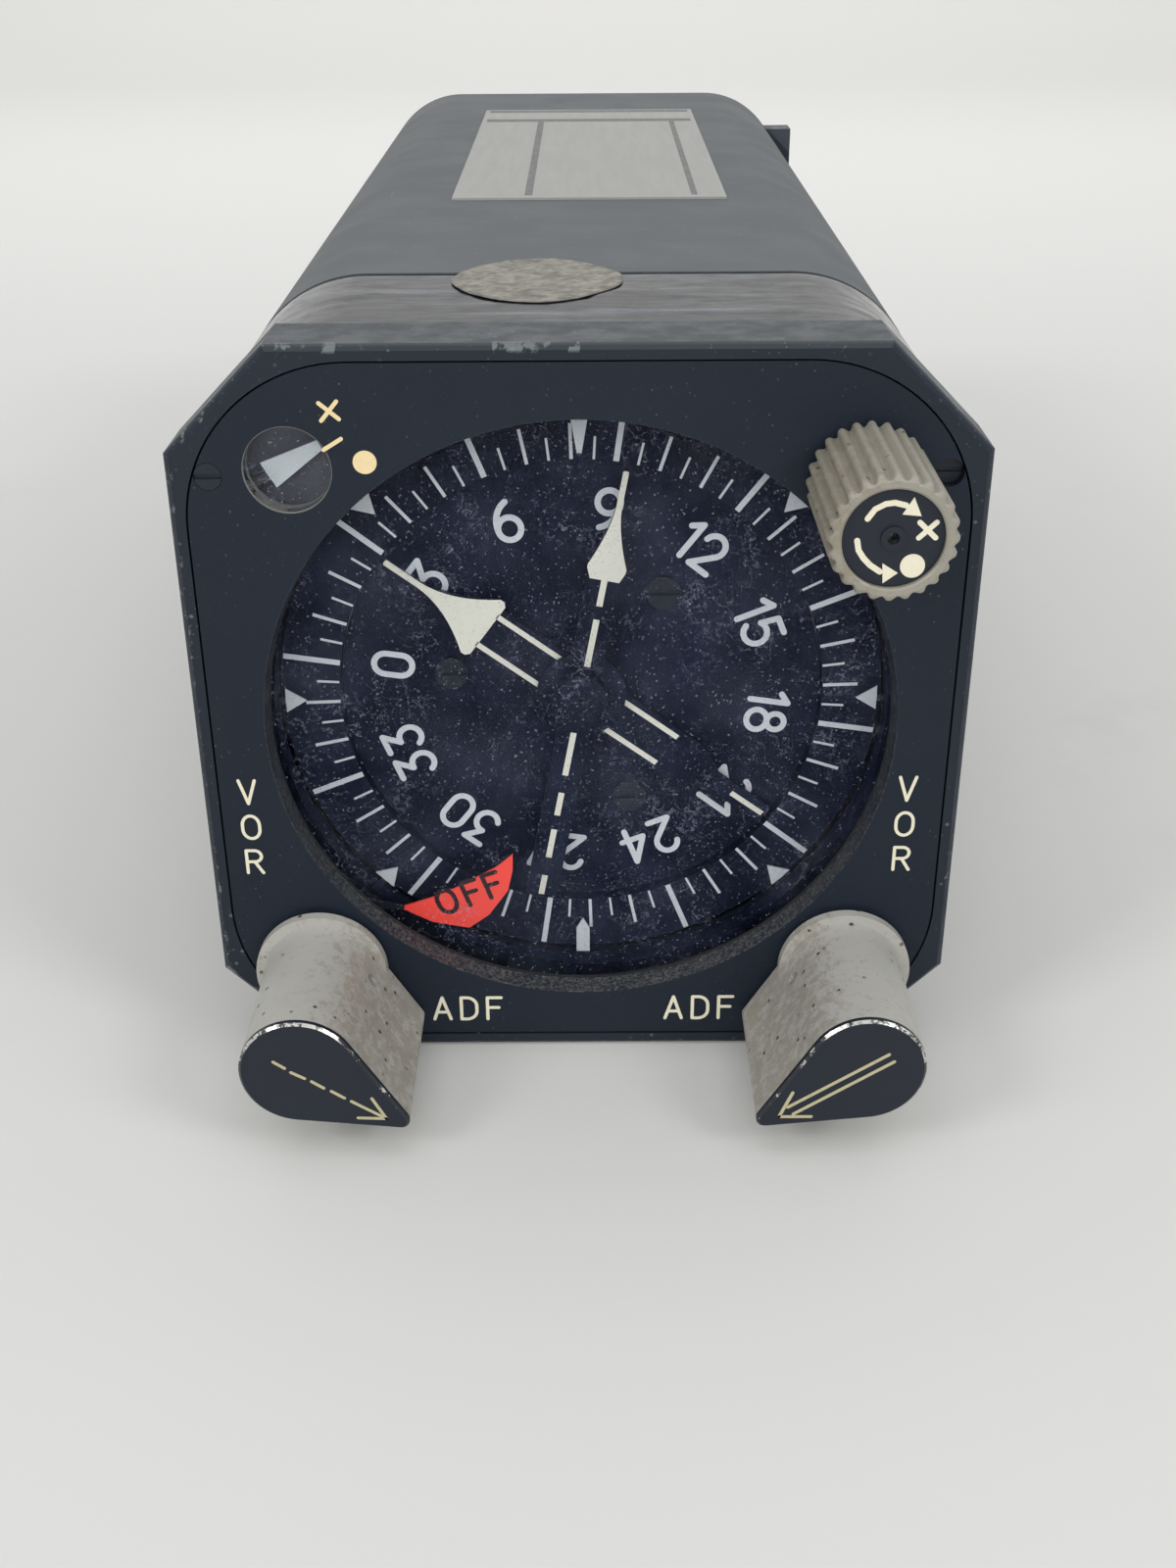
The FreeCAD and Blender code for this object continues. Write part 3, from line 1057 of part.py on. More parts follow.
def pointers():
    reach, tail = size("pointer_reach"), size("pointer_tail")
    thickness = size("pointer_thickness")
    needle = size("needle_half_width")
    strip = size("narrow_strip_half")
    narrow = [(needle / 2, reach)]
    narrow += flare(reach - size("narrow_needle_length"), reach - size("narrow_head_length"),
                    needle, size("narrow_head_half"))
    narrow += [(strip, reach - size("narrow_neck_length")), (strip, -tail)]
    narrow_plate = plate_solid(mirrored(narrow), size("narrow_plane"), thickness)
    disc = Part.makeCylinder(size("hub_disc_radius"), thickness,
                             Vector(0, size("narrow_plane"), 0), Vector(0, 1, 0))
    narrow_plate = narrow_plate.fuse(disc).removeSplitter()
    bore_radius = size("narrow_shaft_radius") + size("press_gap")
    solid("narrow_pointer", drilled(narrow_plate, bore_radius, size("narrow_plane"), thickness),
          "narrow_bearing")
    strip, tail_half = size("wide_strip_half"), size("wide_tail_half")
    wide = [(needle / 2, reach)]
    wide += flare(reach - size("wide_needle_length"), reach - size("wide_head_length"),
                  needle, size("wide_head_half"))
    wide += [(strip, reach - size("wide_neck_length")), (strip, size("wide_taper_start") - tail),
             (tail_half, size("wide_taper_end") - tail), (tail_half, -tail)]
    wide_plate = plate_solid(mirrored(wide), size("wide_plane"), thickness)
    bore_radius = size("wide_tube_radius") + size("press_gap")
    solid("wide_pointer", drilled(wide_plate, bore_radius, size("wide_plane"), thickness),
          "wide_bearing")


# Knobs, their shafts and what they turn.
def bushings_and_controls():
    bushings = []
    for side, (x, z) in KNOBS.items():
        barrel = rod(side + "_bushing_barrel", "bushing_radius", "-bushing_proud",
                     "bushing_proud + web_back + bushing_flange_thickness", x, z)
        flange = rod(side + "_bushing_flange", "bushing_flange_radius", "web_back",
                     "bushing_flange_thickness", x, z)
        hollow = rod(side + "_bushing_bore", "bushing_bore", "-bushing_proud",
                     "bushing_proud + web_back + bushing_flange_thickness", x, z)
        bushings.append(cut(side + "_bushing", fuse(side + "_bushing_blank", [barrel, flange]),
                            hollow))
    keep(group("bushing_group", bushings), "control_bushings")
    switches = []
    for side in ("left", "right"):
        x, z = KNOBS[side]
        can = rod(side + "_switch_can", "switch_radius", "mechanism_back", "switch_length", x, z)
        hollow = rod(side + "_switch_bore", "bushing_bore", "mechanism_back",
                     "selector_shaft_depth - mechanism_back + rod_gap", x, z)
        switches.append(cut(side + "_switch", can, hollow))
        keep(rod(side + "_shaft", "knob_shaft_radius", "-selector_body_front + skirt_thickness",
                 "selector_shaft_depth + selector_body_front - skirt_thickness", x, z),
             side + "_selector_shaft")
    keep(group("switch_group", switches), "selector_switches")
    x, z = KNOBS["sync"]
    can = rod("sync_control_can", "sync_control_radius", "mechanism_back",
              "sync_control_length", x, z)
    hollow = rod("sync_control_bore", "bushing_bore", "mechanism_back",
                 "sync_shaft_depth - mechanism_back + rod_gap", x, z)
    keep(cut("sync_control_body", can, hollow), "sync_control")
    keep(rod("sync_rod", "knob_shaft_radius", "-sync_disc_front + 2 * sync_disc_thickness",
             "sync_shaft_depth + sync_disc_front - 2 * sync_disc_thickness", x, z), "sync_shaft")


def teardrop(front, length):
    """Teardrop block about the knob shaft, its tip along +X."""
    large, small = size("selector_round"), size("selector_tip_round")
    offset = size("selector_tip_offset")
    lean = math.acos((large - small) / offset)
    upper = Vector(large * math.cos(lean), front, large * math.sin(lean))
    upper_tip = Vector(offset + small * math.cos(lean), front, small * math.sin(lean))
    lower = Vector(upper.x, front, -upper.z)
    lower_tip = Vector(upper_tip.x, front, -upper_tip.z)
    back = Vector(-large, front, 0)
    nose = Vector(offset + small, front, 0)
    outline = Part.Wire([
        Part.LineSegment(upper, upper_tip).toShape(),
        Part.Arc(upper_tip, nose, lower_tip).toShape(),
        Part.LineSegment(lower_tip, lower).toShape(),
        Part.Arc(lower, back, upper).toShape(),
    ])
    return Part.Face(outline).extrude(Vector(0, length, 0))


def selector_knobs():
    body_front = -size("selector_body_front")
    skirt_back = -size("skirt_gap")
    cap_front = -size("selector_reach")
    for side, (x, z) in (("left", KNOBS["left"]), ("right", KNOBS["right"])):
        pointing = size("selector_angle")
        if side == "right":
            pointing = 180 - pointing
        axis = Vector(size(x), 0, size(z))
        knob = teardrop(body_front, skirt_back - body_front)
        knob = knob.fuse(Part.makeCylinder(size("skirt_radius"), size("skirt_thickness"),
                                           Vector(0, skirt_back - size("skirt_thickness"), 0),
                                           Vector(0, 1, 0))).removeSplitter()
        shaft_front = body_front + size("skirt_thickness")
        knob = drilled(knob, size("knob_bore"), shaft_front, skirt_back - shaft_front)
        screw_y = skirt_back - size("skirt_thickness") - size("set_screw_depth")
        side_up = 1 if side == "left" else -1
        screw_hole = Part.makeCylinder(size("set_screw_radius"), size("skirt_radius"),
                                       Vector(0, screw_y, 0), Vector(0.9, 0, side_up))
        knob = knob.cut(screw_hole)
        cap = teardrop(cap_front, size("selector_cap_thickness"))
        for shape, label in ((knob, side + "_selector_knob"), (cap, side + "_selector_cap")):
            shape.rotate(Vector(), Vector(0, 1, 0), pointing)
            shape.translate(axis)
            solid(label, shape)


def sync_knob():
    front, back = -size("sync_reach"), -size("sync_gap")
    crest, depth = size("sync_radius"), size("flute_depth")
    flutes = int(size("sync_flutes"))
    points = []
    for number in range(flutes):
        for share, radius in ((-0.18, crest), (0.18, crest), (0.36, crest - depth),
                              (0.64, crest - depth)):
            angle = 2 * math.pi * (number + share) / flutes
            points.append((radius * math.sin(angle), radius * math.cos(angle)))
    knob = plate_solid(points, front, back - front)
    rim_bore = crest - size("sync_rim")
    seat = size("sync_disc_recess") + size("sync_disc_thickness")
    knob = drilled(knob, rim_bore, front, seat)
    shaft_front = -size("sync_disc_front") + 2 * size("sync_disc_thickness")
    knob = drilled(knob, size("knob_bore"), shaft_front, back - shaft_front)
    knob.translate(Vector(size("sync_x"), 0, size("sync_z")))
    solid("sync_knob", knob)
    x, z = KNOBS["sync"]
    keep(tube("sync_disc_ring", "sync_disc_radius", "sync_disc_hole", "-sync_disc_front",
              "sync_disc_thickness", x, z), "sync_knob_disc")


# Annunciator: small window with a tapered needle behind it.
def annunciator():
    keep(rod("sight_glass", "sight_radius - press_gap", "plate_recess + sight_recess",
             "sight_glass_thickness", "-sight_x", "sight_z"), "annunciator_window")
    front, thickness = size("needle_front"), size("needle_thickness")
    wide_end = size("needle_pivot_offset") - size("needle_wide_back")
    narrow_end = size("needle_pivot_offset") + size("needle_tip_ahead")
    stem, wide_half, tip_half = [size(name) for name in
                                 ("needle_stem_half", "needle_wide_half", "needle_tip_half")]
    hub = size("needle_hub_radius")
    half_blade = [(tip_half, narrow_end), (wide_half, wide_end), (stem, wide_end), (stem, 0)]
    blade = plate_solid(mirrored(half_blade), front, thickness)
    hub_disc = Part.makeCylinder(hub, 2 * thickness, Vector(0, front, 0), Vector(0, 1, 0))
    spindle_end = size("web_back") + size("movement_length") - 2
    spindle = Part.makeCylinder(size("needle_spindle_radius"), spindle_end - front,
                                Vector(0, front, 0), Vector(0, 1, 0))
    needle = blade.fuse([hub_disc, spindle]).removeSplitter()
    needle.rotate(Vector(), Vector(0, 1, 0), size("needle_direction"))
    needle.translate(Vector(size("needle_pivot_x"), 0, size("needle_pivot_z")))
    solid("annunciator_needle", needle)
    can = rod("needle_movement_can", "needle_movement_radius", "web_back", "movement_length",
              "needle_pivot_x", "needle_pivot_z")
    hollow = rod("needle_movement_bore", "needle_spindle_radius + running_gap", "web_back",
                 "movement_length - 1", "needle_pivot_x", "needle_pivot_z")
    keep(cut("needle_movement", can, hollow), "annunciator_movement")


# Warning flag: blade on an arm that swings behind the bezel when the heading is valid.
# The outline runs around the blade from the pivot, in shares of the flag's length.
FLAG_OUTLINE = [
    (-0.015, 0.035), (0.313, -0.035), (0.475, 0.02), (0.615, 0.085), (0.85, 0.22),
    (0.948, 0.308), (0.945, 0.2), (0.915, 0.065), (0.8, -0.1), (0.68, -0.19),
    (0.468, -0.148), (0.368, -0.096), (0.313, -0.065), (-0.005, -0.035),
]


def warning_flag():
    front, thickness = size("flag_front"), size("needle_thickness")
    pivot = Vector(size("flag_pivot_x"), 0, size("flag_pivot_z"))
    length = size("flag_length")
    blade = plate_solid([(pivot.x + length * across, pivot.z + length * upward)
                         for across, upward in FLAG_OUTLINE], front, thickness)
    hub = Part.makeCylinder(size("flag_hub_radius"), 2 * thickness,
                            Vector(pivot.x, front, pivot.z), Vector(0, 1, 0))
    spindle = Part.makeCylinder(size("flag_spindle_radius"), size("flag_spindle_end") - front,
                                Vector(pivot.x, front, pivot.z), Vector(0, 1, 0))
    solid("off_flag", blade.fuse([hub, spindle]).removeSplitter())
    front_of_can = "front_mechanism_depth - flag_movement_length"
    can = rod("flag_movement_can", "flag_movement_radius", front_of_can, "flag_movement_length",
              "flag_pivot_x", "flag_pivot_z")
    hollow = rod("flag_movement_bore", "flag_spindle_radius + running_gap", front_of_can,
                 "flag_movement_length - 1", "flag_pivot_x", "flag_pivot_z")
    keep(cut("flag_coil", can, hollow), "flag_movement")


# Circuit boards with their larger components.
def circuit_boards():
    pieces = []
    components = {
        "front_board_depth": [(-24, -20, 16, 10, 22), (4, 8, 20, 8, 16), (-20, 12, 10, 12, 10)],
        "rear_board_depth": [(-26, -24, 24, 18, 26), (6, -22, 16, 12, 12), (8, 6, 14, 16, 20)],
    }
    for depth, blocks in components.items():
        body = new_body(depth + "_sheet")
        pad(body, depth + "_pad", rounded_square("board_half", "board_corner"),
            depth, "board_thickness")
        for number, (x, z) in enumerate(POSTS):
            bore(body, "%s_post_%d" % (depth, number), "rod_hole", depth,
                 "board_thickness", x, z)
        pieces.append(body)
        for number, (x, z, width, length, height) in enumerate(blocks):
            pieces.append(block("%s_component_%d" % (depth, number), x,
                                "%s + board_thickness" % depth, z, width, length, height))
    keep(group("board_group", pieces), "circuit_boards")


bezel_frame()
front_plate()
plate_screws()
window_stack()
index_marks()
seal_tape()
dust_cover()
rear_end()
corner_block()
cover_labels()
mechanism_plates()
compass_card()
gear_train()
synchro("heading", "gear_plate_back", "hub_tube_radius")
synchro("wide_pointer", "wide_plate_back", "wide_tube_radius")
synchro("narrow_pointer", "narrow_plate_back", "narrow_shaft_radius")
pointer_shafts()
pointers()
bushings_and_controls()
selector_knobs()
sync_knob()
annunciator()
warning_flag()
circuit_boards()
document.recompute()

for item in document.Objects:
    if "Invalid" in item.State or "Error" in item.State:
        raise RuntimeError("%s did not compute: %s" % (item.Name, item.State))

os.makedirs("parts", exist_ok=True)
for part in PARTS:
    if part.Shape.isNull() or not part.Shape.isValid():
        raise RuntimeError("%s has no valid shape" % part.Label)
for part in PARTS:
    part.Shape.exportStep("parts/%s.step" % part.Label)
print("%d sub-parts written" % len(PARTS))
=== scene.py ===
import math

import bmesh
import bpy
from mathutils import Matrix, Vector, noise


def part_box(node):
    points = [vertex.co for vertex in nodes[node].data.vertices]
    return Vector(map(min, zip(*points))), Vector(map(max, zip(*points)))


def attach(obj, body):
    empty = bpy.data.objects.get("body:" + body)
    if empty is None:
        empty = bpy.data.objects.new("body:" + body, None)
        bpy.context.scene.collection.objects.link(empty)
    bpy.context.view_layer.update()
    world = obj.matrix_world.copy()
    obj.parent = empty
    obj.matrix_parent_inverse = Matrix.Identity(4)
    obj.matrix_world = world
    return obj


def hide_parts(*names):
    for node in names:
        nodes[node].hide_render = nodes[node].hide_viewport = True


# Looks of the radio magnetic indicator: paint, wear, dial markings, tape, labels and knobs.
# Places are millimetres from the centre of the bezel's front face: x to the right,
# y into the panel, z up.

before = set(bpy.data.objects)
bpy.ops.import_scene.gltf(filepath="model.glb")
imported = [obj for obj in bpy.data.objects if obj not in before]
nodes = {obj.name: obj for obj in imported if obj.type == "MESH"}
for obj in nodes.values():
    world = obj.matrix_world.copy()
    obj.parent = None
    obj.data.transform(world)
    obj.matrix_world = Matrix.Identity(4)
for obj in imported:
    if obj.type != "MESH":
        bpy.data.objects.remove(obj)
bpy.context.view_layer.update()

MM = 0.001
BEZEL_LOW, BEZEL_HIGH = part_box("bezel_frame")
FRONT_Y = BEZEL_LOW.y
AXIS_Z = (BEZEL_LOW.z + BEZEL_HIGH.z) / 2


def at(x, y, z):
    return Vector((x * MM, FRONT_Y + y * MM, AXIS_Z + z * MM))


def depth_of(node, side=0):
    """Front (0) or back (1) of a CAD piece in millimetres behind the bezel's face."""
    return (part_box(node)[side].y - FRONT_Y) / MM


def srgb(red, green, blue):
    """Linear colour from 8-bit values."""
    def linear(value):
        value /= 255.0
        return value / 12.92 if value <= 0.04045 else ((value + 0.055) / 1.055) ** 2.4
    return (linear(red), linear(green), linear(blue), 1.0)


# Places that the paints and marks line up with
BEZEL_HALF = (BEZEL_HIGH.x - BEZEL_LOW.x) / 2 / MM
CORNER_REACH = 50.912
CHIPPED_STRETCHES = ((-8.4, -2.5), (-1.1, 0.4), (-25.0, -23.3))
DIAL_OPENING = 33.9
SIGHT_X, SIGHT_Z = 29.12, 28.9
SIGHT_WINDOW = 4.5
SIGHT_POCKET = 5.4
MARK_ROOT = 32.86
NEEDLE_PIVOT = (-33.45, 26.4)
NEEDLE_HUB = 2.15
FLAG_PIVOT = (-27.0, -25.0)
FLAG_ARM = 6.15


# Materials
class Paint:
    """A node material whose patterns are laid out in the part's own frame."""

    def __init__(self, name, roughness=0.5, metallic=0.0):
        self.material = bpy.data.materials.new(name)
        self.material.use_nodes = True
        self.tree = self.material.node_tree
        self.shader = self.tree.nodes["Principled BSDF"]
        self.shader.inputs["Roughness"].default_value = roughness
        self.shader.inputs["Metallic"].default_value = metallic
        self.place = self.tree.nodes.new("ShaderNodeTexCoord").outputs["Object"]

    def node(self, kind, **settings):
        node = self.tree.nodes.new(kind)
        for name, value in settings.items():
            setattr(node, name, value)
        return node

    def feed(self, socket, value):
        if isinstance(value, bpy.types.NodeSocket):
            self.tree.links.new(value, socket)
        else:
            socket.default_value = value

    def math(self, operation, first, second=0.0):
        node = self.node("ShaderNodeMath", operation=operation)
        self.feed(node.inputs[0], first)
        self.feed(node.inputs[1], second)
        return node.outputs[0]

    def times(self, first, second):
        return self.math("MULTIPLY", first, second)

    def plus(self, first, second):
        return self.math("ADD", first, second)

    def most(self, first, second):
        return self.math("MAXIMUM", first, second)

    def moved(self, stretch, shift):
        node = self.node("ShaderNodeMapping")
        self.feed(node.inputs["Vector"], self.place)
        node.inputs["Scale"].default_value = stretch
        node.inputs["Location"].default_value = shift
        return node.outputs[0]

    def noise(self, size, detail=4.0, rough=0.55, stretch=(1, 1, 1), shift=(0, 0, 0)):
        """Cloudy pattern whose features are about size millimetres across."""
        node = self.node("ShaderNodeTexNoise")
        self.feed(node.inputs["Vector"], self.moved(stretch, shift))
        node.inputs["Scale"].default_value = 1.0 / (size * MM)
        node.inputs["Detail"].default_value = detail
        node.inputs["Roughness"].default_value = rough
        return node.outputs[0]

    def specks(self, size, reach, stretch=(1, 1, 1), shift=(0, 0, 0)):
        """Scattered dots, one per cell of size millimetres; reach is a dot's share of its cell."""
        node = self.node("ShaderNodeTexVoronoi")
        self.feed(node.inputs["Vector"], self.moved(stretch, shift))
        node.inputs["Scale"].default_value = 1.0 / (size * MM)
        return self.fall(node.outputs["Distance"], reach * 0.6, reach)

    def ramp(self, value, start, end, low, high):
        node = self.node("ShaderNodeMapRange", interpolation_type="SMOOTHSTEP")
        self.feed(node.inputs["Value"], value)
        node.inputs["From Min"].default_value = start
        node.inputs["From Max"].default_value = end
        node.inputs["To Min"].default_value = low
        node.inputs["To Max"].default_value = high
        return node.outputs["Result"]

    def rise(self, value, start, end):
        return self.ramp(value, start, end, 0.0, 1.0)

    def fall(self, value, start, end):
        return self.ramp(value, start, end, 1.0, 0.0)

    def mix(self, factor, first, second):
        node = self.node("ShaderNodeMix", data_type="RGBA")
        self.feed(node.inputs[0], factor)
        self.feed(node.inputs[6], first)
        self.feed(node.inputs[7], second)
        return node.outputs[2]

    def layer(self, factor, colour):
        """Lay a colour over the tone so far."""
        self.tone = self.mix(factor, self.tone, colour)

    def colour(self, value):
        self.feed(self.shader.inputs["Base Color"], value)
        return self

    def rough(self, low, high, pattern):
        self.feed(self.shader.inputs["Roughness"], self.ramp(pattern, 0.3, 0.7, low, high))
        return self

    def bump(self, height, distance, strength=0.6):
        node = self.node("ShaderNodeBump")
        node.inputs["Strength"].default_value = strength
        node.inputs["Distance"].default_value = distance * MM
        self.feed(node.inputs["Height"], height)
        self.feed(self.shader.inputs["Normal"], node.outputs[0])
        return self

    def matte(self, level):
        """Weaken the surface's mirror reflection."""
        self.shader.inputs["Specular IOR Level"].default_value = level
        return self

    def fibres(self, size, shift):
        """Thin curling threads, gathered in patches."""
        cloud = self.noise(size, 3.0, 0.6, shift=shift)
        waves = self.math("ABSOLUTE", self.math("SUBTRACT", cloud, 0.5))
        patches = self.rise(self.noise(size * 3.2, 4.0, 0.6, shift=shift), 0.5, 0.68)
        return self.times(self.fall(waves, 0.004, 0.016), patches)

    def offset(self, axis, centre):
        """Signed distance in millimetres from a plane across X, Y or Z."""
        split = self.node("ShaderNodeSeparateXYZ")
        self.feed(split.inputs[0], self.place)
        away = self.math("SUBTRACT", split.outputs[axis], centre)
        return self.math("DIVIDE", away, MM)

    def facing(self, axis):
        """How far the surface faces along X, Y or Z."""
        split = self.node("ShaderNodeSeparateXYZ")
        self.feed(split.inputs[0], self.node("ShaderNodeNewGeometry").outputs["Normal"])
        return split.outputs[axis]

    def window(self, value, low, high):
        """One between two values and nothing outside them."""
        return self.times(self.rise(value, low, low + 0.3), self.fall(value, high - 0.3, high))

    def radius(self, x, z):
        """Distance in millimetres from a line along Y."""
        centre = at(x, 0, z)
        across, upward = self.offset("X", centre.x), self.offset("Z", centre.z)
        squares = self.plus(self.times(across, across), self.times(upward, upward))
        return self.math("SQRT", squares)


def worn_paint(name, base, grime, worn, roughness, wear_at=0.68, wear_size=5.0, peel=0.02):
    """Sprayed paint with cloudy soiling, rubbed patches and a fine orange-peel surface."""
    paint = Paint(name)
    soiled = paint.mix(paint.noise(14.0, 5.0), base, grime)
    rub = paint.noise(wear_size, 9.0, 0.72, shift=(3.1, 1.7, 0.4))
    paint.tone = paint.mix(paint.rise(rub, wear_at, wear_at + 0.05), soiled, worn)
    paint.colour(paint.tone)
    paint.rough(roughness - 0.08, roughness + 0.1, paint.noise(3.0))
    paint.bump(paint.noise(0.35, 2.0), peel)
    return paint


def dusted(paint, dust, cell, reach, amount=1.0):
    """Add fine dust specks over a paint's colour."""
    first = paint.specks(cell, reach)
    second = paint.specks(cell * 0.45, reach * 0.8, shift=(0.7, 0.2, 0.5))
    patchy = paint.rise(paint.noise(9.0, 3.0, shift=(2.0, 5.0, 1.0)), 0.35, 0.7)
    both = paint.most(first, second)
    veil = paint.times(paint.times(both, patchy), amount)
    paint.layer(veil, dust)
    return paint.colour(paint.tone)


def bezel_paint():
    """Black paint with a few primer-coloured chips on the top edge and dust on level faces."""
    paint = worn_paint("bezel_paint", srgb(32, 39, 49), srgb(25, 32, 42), srgb(52, 58, 64),
                       0.44, 0.76)
    side = paint.offset("X", 0.0)
    rise = paint.offset("Z", AXIS_Z)
    across, upward = paint.math("ABSOLUTE", side), paint.math("ABSOLUTE", rise)
    corner = paint.times(paint.plus(across, upward), math.sqrt(0.5))
    reach = paint.most(paint.most(across, upward),
                       paint.plus(corner, BEZEL_HALF - CORNER_REACH))
    level = paint.times(paint.rise(paint.facing("Z"), 0.6, 0.8), paint.rise(rise, 20.0, 21.0))
    film = paint.ramp(paint.noise(9.0, 6.0, 0.6, stretch=(0.4, 1.0, 1.0)), 0.3, 0.7, 0.55, 1.0)
    paint.layer(paint.times(level, film), srgb(54, 59, 61))
    edge = paint.times(paint.rise(reach, BEZEL_HALF - 0.95, BEZEL_HALF - 0.55),
                       paint.fall(paint.offset("Y", FRONT_Y), 0.9, 1.3))
    top = paint.rise(rise, BEZEL_HALF - 1.2, BEZEL_HALF - 1.0)
    chips = 0.0
    for low, high in CHIPPED_STRETCHES:
        chips = paint.most(chips, paint.window(side, low, high))
    rubbed = paint.times(paint.fall(side, -27.0, -25.0), 0.07)
    lift = paint.plus(rubbed, paint.times(paint.times(chips, top), 0.17))
    grain = paint.plus(lift, paint.noise(1.5, 8.0, 0.7, shift=(8.0, 2.0, 5.0)))
    bare = paint.times(edge, paint.rise(grain, 0.64, 0.68))
    paint.layer(bare, srgb(97, 104, 103))
    # Painted highlight: the outer rim and sides of the bezel are painted lighter.
    rim = paint.times(paint.rise(reach, BEZEL_HALF - 0.3, BEZEL_HALF - 0.05), 0.3)
    paint.layer(rim, srgb(92, 98, 104))
    # Painted light: the shaded floor of the annunciator pocket, seen through its window, is
    # painted pale grey.
    painted_pocket_light = paint.fall(paint.radius(-SIGHT_X, SIGHT_Z), SIGHT_POCKET - 0.1, SIGHT_POCKET)
    inside = paint.rise(paint.offset("Y", FRONT_Y), 1.8, 2.2)
    paint.layer(paint.times(painted_pocket_light, inside), srgb(94, 97, 101))
    paint.matte(0.25)
    return dusted(paint, srgb(120, 124, 128), 1.6, 0.16, 0.6)


def plate_paint():
    """Matte blue-black front plate with dust, more of it round the dial opening, and a painted
    highlight in the sight hole.
    """
    paint = worn_paint("plate_paint", srgb(28, 36, 47), srgb(23, 30, 41), srgb(46, 54, 64),
                       0.5, 0.74)
    dusted(paint, srgb(110, 116, 124), 1.1, 0.12, 0.4)
    ring = paint.radius(0, 0)
    lower = paint.ramp(paint.offset("Z", AXIS_Z), -30.0, 10.0, 0.9, 0.25)
    flare = paint.times(paint.fall(ring, DIAL_OPENING, DIAL_OPENING + 0.15), lower)
    crumbs = paint.rise(paint.noise(0.4, 6.0, 0.8), 0.42, 0.66)
    paint.layer(paint.times(flare, crumbs), srgb(104, 102, 98))
    # Painted highlight: the wall of the annunciator window's hole is painted pale.
    painted_sight_highlight = paint.fall(paint.radius(-SIGHT_X, SIGHT_Z), SIGHT_WINDOW - 0.03, SIGHT_WINDOW)
    paint.layer(painted_sight_highlight, srgb(124, 123, 117))
    return paint.matte(0.2).colour(paint.tone)


def cover_paint():
    """Dark grey matte cover, with hazy handling marks and a few light scratches."""
    paint = worn_paint("cover_paint", srgb(88, 92, 95), srgb(82, 86, 90), srgb(94, 97, 100), 0.55,
                       0.66, 15.0)
    paint.rough(0.52, 0.6, paint.noise(12.0))
    scratch = paint.noise(0.6, 2.0, 0.5, stretch=(1.0, 0.03, 1.0), shift=(4.0, 0.0, 2.0))
    sparse = paint.rise(paint.noise(18.0, 3.0, shift=(7.0, 7.0, 7.0)), 0.56, 0.66)
    lines = paint.times(paint.rise(scratch, 0.7, 0.74), sparse)
    paint.layer(lines, srgb(128, 130, 131))
    paint.matte(0.35)
    return dusted(paint, srgb(140, 142, 142), 2.2, 0.12, 0.4)


def tape_film():
    """Glossy dark tape with pale painted sheen streaks along its folds."""
    paint = Paint("tape_film", 0.12)
    smear = paint.noise(6.0, 6.0, 0.6, stretch=(0.3, 1.0, 0.3))
    tone = paint.mix(smear, srgb(12, 15, 23), srgb(24, 29, 39))
    # Painted sheen: pale streaks along the folds stand in for reflections on the gloss.
    fold = paint.noise(3.2, 5.0, 0.55, stretch=(0.12, 1.0, 0.12), shift=(0.3, 2.0, 0.0))
    fold = paint.rise(fold, 0.52, 0.72)
    paint.colour(paint.mix(fold, tone, srgb(88, 95, 108)))
    paint.rough(0.08, 0.24, paint.noise(2.5, 5.0))
    paint.shader.inputs["Coat Weight"].default_value = 0.12
    paint.shader.inputs["Coat IOR"].default_value = 1.5
    paint.shader.inputs["Coat Roughness"].default_value = 0.08
    paint.bump(paint.noise(2.2, 4.0, 0.6, stretch=(0.3, 1.0, 0.3)), 0.12, 0.5)
    return paint.matte(0.12)


def seal_film():
    """Aged printed film: mottled grey-brown with darker smudges."""
    paint = Paint("seal_film", 0.42)
    mottled = paint.mix(paint.rise(paint.noise(2.2, 8.0, 0.7), 0.4, 0.62),
                        srgb(132, 128, 117), srgb(96, 92, 84))
    smudge = paint.rise(paint.noise(4.5, 6.0, 0.65, shift=(5.0, 1.0, 0.0)), 0.56, 0.62)
    paint.colour(paint.mix(smudge, mottled, srgb(100, 98, 92)))
    paint.rough(0.3, 0.6, paint.noise(1.0))
    paint.bump(paint.noise(0.9, 5.0, 0.7), 0.06, 0.6)
    return paint


def label_foil():
    """Satin metal foil, slightly clouded."""
    paint = Paint("label_foil", 0.38)
    paint.colour(paint.mix(paint.noise(9.0, 5.0), srgb(151, 151, 147), srgb(145, 145, 142)))
    paint.rough(0.4, 0.46, paint.noise(1.4, stretch=(1.0, 0.1, 1.0)))
    paint.bump(paint.noise(0.5, 3.0), 0.01)
    return paint


def print_ink(name, red, green, blue, roughness=0.55):
    """Printed or engraved paint, slightly uneven."""
    paint = Paint(name, roughness)
    fresh = srgb(red, green, blue)
    faded = tuple(0.82 * value for value in fresh[:3]) + (1.0,)
    paint.colour(paint.mix(paint.rise(paint.noise(0.5, 6.0, 0.7), 0.5, 0.75), fresh, faded))
    paint.rough(roughness - 0.1, roughness + 0.1, paint.noise(0.8))
    return paint


def dial_paint(name):
    """Blue-black dial paint under a bluish dust haze with fibres."""
    paint = Paint(name, 0.55).matte(0.12)
    haze = paint.rise(paint.noise(7.0, 7.0, 0.65), 0.38, 0.72)
    paint.tone = paint.mix(haze, srgb(16, 22, 38), srgb(34, 40, 58))
    for size, shift, strength in ((1.7, (4.0, 0.0, 9.0), 0.7), (0.9, (1.0, 3.0, 2.0), 0.5)):
        lint = paint.times(paint.fibres(size, shift), strength)
        paint.layer(lint, srgb(88, 90, 110))
    return dusted(paint, srgb(128, 130, 142), 0.9, 0.16, 0.8)


